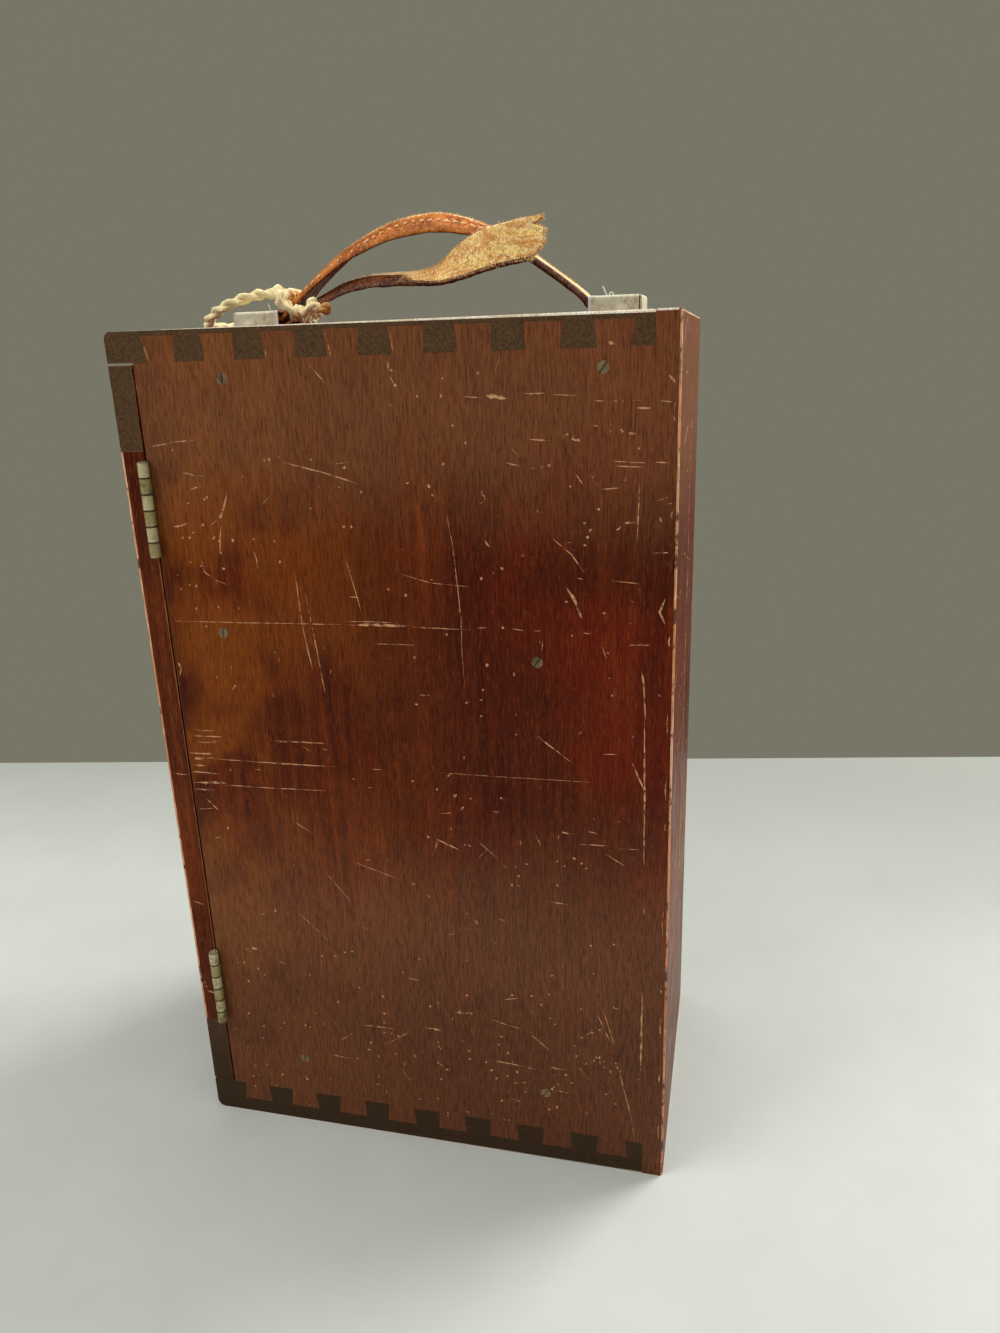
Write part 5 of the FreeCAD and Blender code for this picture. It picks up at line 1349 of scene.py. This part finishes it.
hinge_side = clean_copy("side_panel_hinge_side")
round_arrises(hinge_side, 0.25, LONG_EDGE, ARRIS, near_face("y", 0, -1))
side_rng = random.Random(5)
cut_marks(hinge_side, "x", 1, side_marks(side_rng), side_rng)
stand_in("side_panel_hinge_side", hinge_side, [
    AGED_AND_SHEEN, worn_and_highlit_wood("hinge_side_arris", "z", (0, 0, 0), 0.25), SCRATCHED])


# ---------------------------------------------------------------- metal


def metal(name, base, dark, light, roughness=0.35, metallic=0.9):
    """Old metal: bare where it is touched, dull with grime and specks elsewhere."""
    base, dark, light = rgb(*base), rgb(*dark), rgb(*light)
    paint = Paint(name)
    cloud = paint.noise(240, 5, 0.6)
    colour = paint.mix(paint.ramp(cloud, 0.45, 0.68), base, dark)
    colour = paint.mix(paint.patches(700, 0.55, 0.7, 0, 0.5), colour, light)
    fine = paint.cell_marks(700, 0.00004, 0.0008, 0.5)
    colour = paint.mix(paint.times(fine, 0.5), colour, light)
    rough = paint.ramp(cloud, 0.35, 0.7, roughness, roughness + 0.3)
    return paint.finish(colour, rough, paint.bump(cloud, 0.25, 0.0002), Metallic=metallic)


pale_brass = metal("hinge_brass", (206, 192, 148), (150, 136, 92), (236, 226, 192), 0.4, 0.35)
dull_brass = metal("hinge_brass_dull", (168, 152, 102), (116, 100, 60), (208, 196, 154), 0.42, 0.4)
lock_brass = metal("lock_brass", (176, 150, 96), (116, 92, 52), (220, 200, 146), 0.35, 0.8)
steel = metal("key_steel", (150, 146, 138), (84, 76, 66), (200, 196, 188))
tin = metal("clip_tin", (234, 230, 198), (200, 186, 142), (250, 248, 232), 0.42, 0.05)
# Whiter, glossier tin for the clips' rims: a painted highlight.
tin_rim_highlight = metal("clip_tin_rim_highlight", (250, 249, 236), (226, 222, 200), (255, 254, 250), 0.3, 0.1)
screw_metal = metal("screw_metal", (118, 108, 84), (66, 54, 38), (166, 154, 124), 0.5, 0.5)
grey_screw = metal("side_screw", (122, 100, 66), (88, 68, 42), (146, 126, 92), 0.55, 0)
grime = metal("hinge_grime", (84, 74, 46), (46, 38, 24), (120, 108, 72), 0.6, 0.1)
loose_thread = string_paint("loose_thread", (250, 246, 232), (210, 200, 180))

METALS = {
    pale_brass: [
        "upper_hinge_door_leaf", "lower_hinge_door_leaf", "upper_hinge_pin", "lower_hinge_pin"],
    dull_brass: ["upper_hinge_case_leaf", "lower_hinge_case_leaf"],
    lock_brass: ["lock_backplate", "lock_cover", "lock_bolt", "strike_plate", "key_escutcheon"],
    steel: ["key"],
}
# Pieces that keep their own mesh. The rest of those are in the screws' metal.
PLAIN_METALS = {
    "escutcheon_pins": lock_brass, "lock_bolt_spring": steel, "foot_rail_screws": grey_screw,
    "top_batten_screws": grey_screw, "accessory_rack_screws": grey_screw,
}
for material, members in METALS.items():
    for node in members:
        edited = clean_copy(node)
        leaf = "leaf" in node
        round_arrises(edited, 0.3 if leaf else 0.14, 0.0001 if leaf else 0.0006, int(leaf))
        stand_in(node, edited, [material, grime], 35)

WALL, CORNER, CLIP_GAP = 0.8, 1, 0.14  # a clip's sheet, its bends and the slit beside its fold


def bump_at(x, y, reach_x, reach_y):
    """1 at the middle of a round bump, falling off over its reach to each side."""
    return math.exp(-(x / reach_x) ** 2 - (y / reach_y) ** 2)


def make_clip(side, mouth, end, threads):
    """A strap clip as bent sheet: a channel dished round its screws, its outer end folded down."""
    low, high = (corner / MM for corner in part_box(side + "_strap_clip"))
    toward = math.copysign(1, end - mouth)
    middle, quarter = (low.y + high.y) / 2, (high.y - low.y) / 4
    shape = Shape()

    def channel(inset):
        """The channel's outline across the case, that far inside its outer face."""
        half, top, bend = high.x - inset, high.z - inset, max(CORNER - inset, 0.25)
        right = [
            (half - bend + bend * math.sin(turn), top - bend + bend * math.cos(turn))
            for turn in np.linspace(0, math.pi / 2, 6)]
        right += [(half, z) for z in np.linspace(top - bend - 0.8, low.z + 0.02, 7)]
        flat = [(x, top) for x in np.linspace(-(half - bend - 0.6), half - bend - 0.6, 22)]
        return [(-x, z) for x, z in right[::-1]] + flat + right

    def dented(x, y, z):
        """A point of the sheet with the dents and the flare that use has given it."""
        on_top = max(0, min(1, (z - low.z) / (high.z - low.z) * 2 - 1))
        for screw in (middle - quarter, middle + quarter):
            z -= 0.4 * on_top * math.exp(-((y - screw) ** 2 + x * x) / 11)
        flare = math.exp(-abs(y - mouth) / 1.3)
        z += 0.3 * flare * on_top
        x += 0.25 * math.copysign(flare, x) * (abs(x) > 9)
        if x > 9:
            x += 0.55 * bump_at(y - mouth - toward * 13.5, z - low.z - 1.7, 2.6, 1.3)
        rough = ripple((x, y, z), 3, 8) * on_top
        return (x + 0.05 * ripple((x, y, z), 2.2, 3), y, z + 0.07 * rough)

    outline = channel(0) + channel(WALL)[::-1]
    rings = [
        [dented(x, y, z) for x, z in outline]
        for y in np.linspace(mouth, end - toward * (CORNER + CLIP_GAP), 34)]
    # The mouth's first rows of faces and the channel's ends take the whiter tin, a painted
    # highlight along the rims.
    plain, rim = [0] * len(outline), [1] * len(outline)
    shape.skin(rings, [rim] * 2 + [plain] * (len(rings) - 3) + [rim], flat_ends=True)
    bend = end - toward * CORNER
    fold = [(bend - toward * (CLIP_GAP + 0.6), 0), (bend, 0)]
    fold += [
        (bend + toward * CORNER * math.sin(turn), -CORNER * (1 - math.cos(turn)))
        for turn in np.linspace(0.25, math.pi / 2, 6)]
    fold += [(end, -drop) for drop in np.linspace(CORNER + 1, high.z - low.z - 0.02, 5)]
    rings = []
    for x in np.linspace(0.5 - high.x, high.x - 0.5, 24):
        face = [(x, y, high.z - 0.03 + z) for y, z in fold]
        back = [
            (x, y - toward * WALL * min(1, -z), high.z - WALL + max(z, z * 0.86))
            for y, z in fold[:-1]]
        back.append((x, end - toward * WALL, low.z + 0.02))
        rings.append(face + back[::-1])
    shape.skin(rings, 0, flat_ends=True)
    for strand in threads:
        line = smooth_line(strand, 0.5)
        rings = []
        for point, ahead in zip(line, unit(np.gradient(line, axis=0))):
            out = unit(np.cross(ahead, (1, 0.2, 0.1)))
            rings.append(circle(point, out, np.cross(ahead, out), 0.24, round_about(7)))
        shape.skin(rings, 2)
    made_piece(
        side + "_strap_clip", shape.mesh(side + "_clip"), [tin, tin_rim_highlight, loose_thread], 40)


# Ends of old thread stand out of the clips: places across, along and up, in mm.
make_clip("front", -61.5, -82.1, [[(5, -67.2, 366.6), (6, -67, 368), (6, -67.8, 370.4)]])
make_clip("rear", 68.5, 89.1, [
    [(5, 75.3, 366.6), (6, 74.7, 368.3), (6, 73.4, 371)],
    [(6, 76, 366.6), (6, 76.3, 368.4), (6, 77.5, 368.2), (6, 77.8, 367)],
])
for node, thing in NODES.items():
    if not thing.hide_render:
        thing.data.materials.clear()
        thing.data.materials.append(PLAIN_METALS.get(node, screw_metal))


# ---------------------------------------------------------------- floor and light

# The floor's far edge runs where the photo's floor meets its wall.
FLOOR_EDGE = (Vector((-0.287, -0.527)), Vector((-0.444, 0.358)))
FLOOR_SIZE = 4
LAMP_TARGET = Vector((0, 0, 0.2))


def make_floor():
    """A floor with painted shade that darkens it towards its far edge."""
    run = (FLOOR_EDGE[1] - FLOOR_EDGE[0]).normalized() * FLOOR_SIZE
    start, end = FLOOR_EDGE[0] - run, FLOOR_EDGE[1] + run
    off = Vector((run.y, -run.x)) * 2
    mesh = bpy.data.meshes.new("floor")
    corners = [(*point, 0) for point in (start, end, end + off, start + off)]
    mesh.from_pydata(corners, [], [(3, 2, 1, 0)])
    paint = Paint("floor_paint")
    mottle = paint.noise(9, 5, 0.6)
    tone = paint.mix(mottle, rgb(188, 191, 182), rgb(212, 216, 208))
    # Painted shade: the floor darker towards its far edge.
    far = paint.ramp(paint.parts(paint.place)[0], -0.02, -0.42, 0, 0.9)
    mesh.materials.append(paint.finish(paint.mix(far, tone, rgb(152, 155, 145)), 0.85))
    new_object("floor", mesh)


def make_world():
    """An even soft surround, with a plain grey behind the object."""
    sky = Paint("surround", world=True)
    soft = sky.add("Background", (0.94, 0.97, 1, 1), 0.36)
    behind = sky.add("Background", rgb(120, 118, 103), 1)
    path = sky.add("LightPath").outputs
    seen = sky.math("MAXIMUM", path["Is Camera Ray"], path["Is Glossy Ray"])
    mixed = sky.add("MixShader", seen, soft.outputs[0], behind.outputs[0])
    sky.add("OutputWorld", mixed.outputs[0])
    bpy.context.scene.world = sky.made


def lamp(name, place, size, power, colour):
    """A round lamp that looks at the case."""
    data = bpy.data.lights.new(name, "AREA")
    data.shape, data.size, data.energy, data.color = "DISK", size, power, colour
    thing = new_object(name, data)
    thing.location = place
    thing.rotation_euler = (LAMP_TARGET - Vector(place)).to_track_quat("-Z", "Y").to_euler()


make_floor()
make_world()
lamp("key_lamp", (0.9, -1.1, 1.5), 1.1, 13, (1, 0.97, 0.92))
lamp("back_lamp", (-0.9, 1.1, 1.1), 0.9, 25, (1, 0.98, 0.95))
lamp("top_lamp", (0.1, 0.1, 1.8), 1.2, 11, (1, 1, 1))
bpy.context.scene.view_settings.view_transform = "Standard"
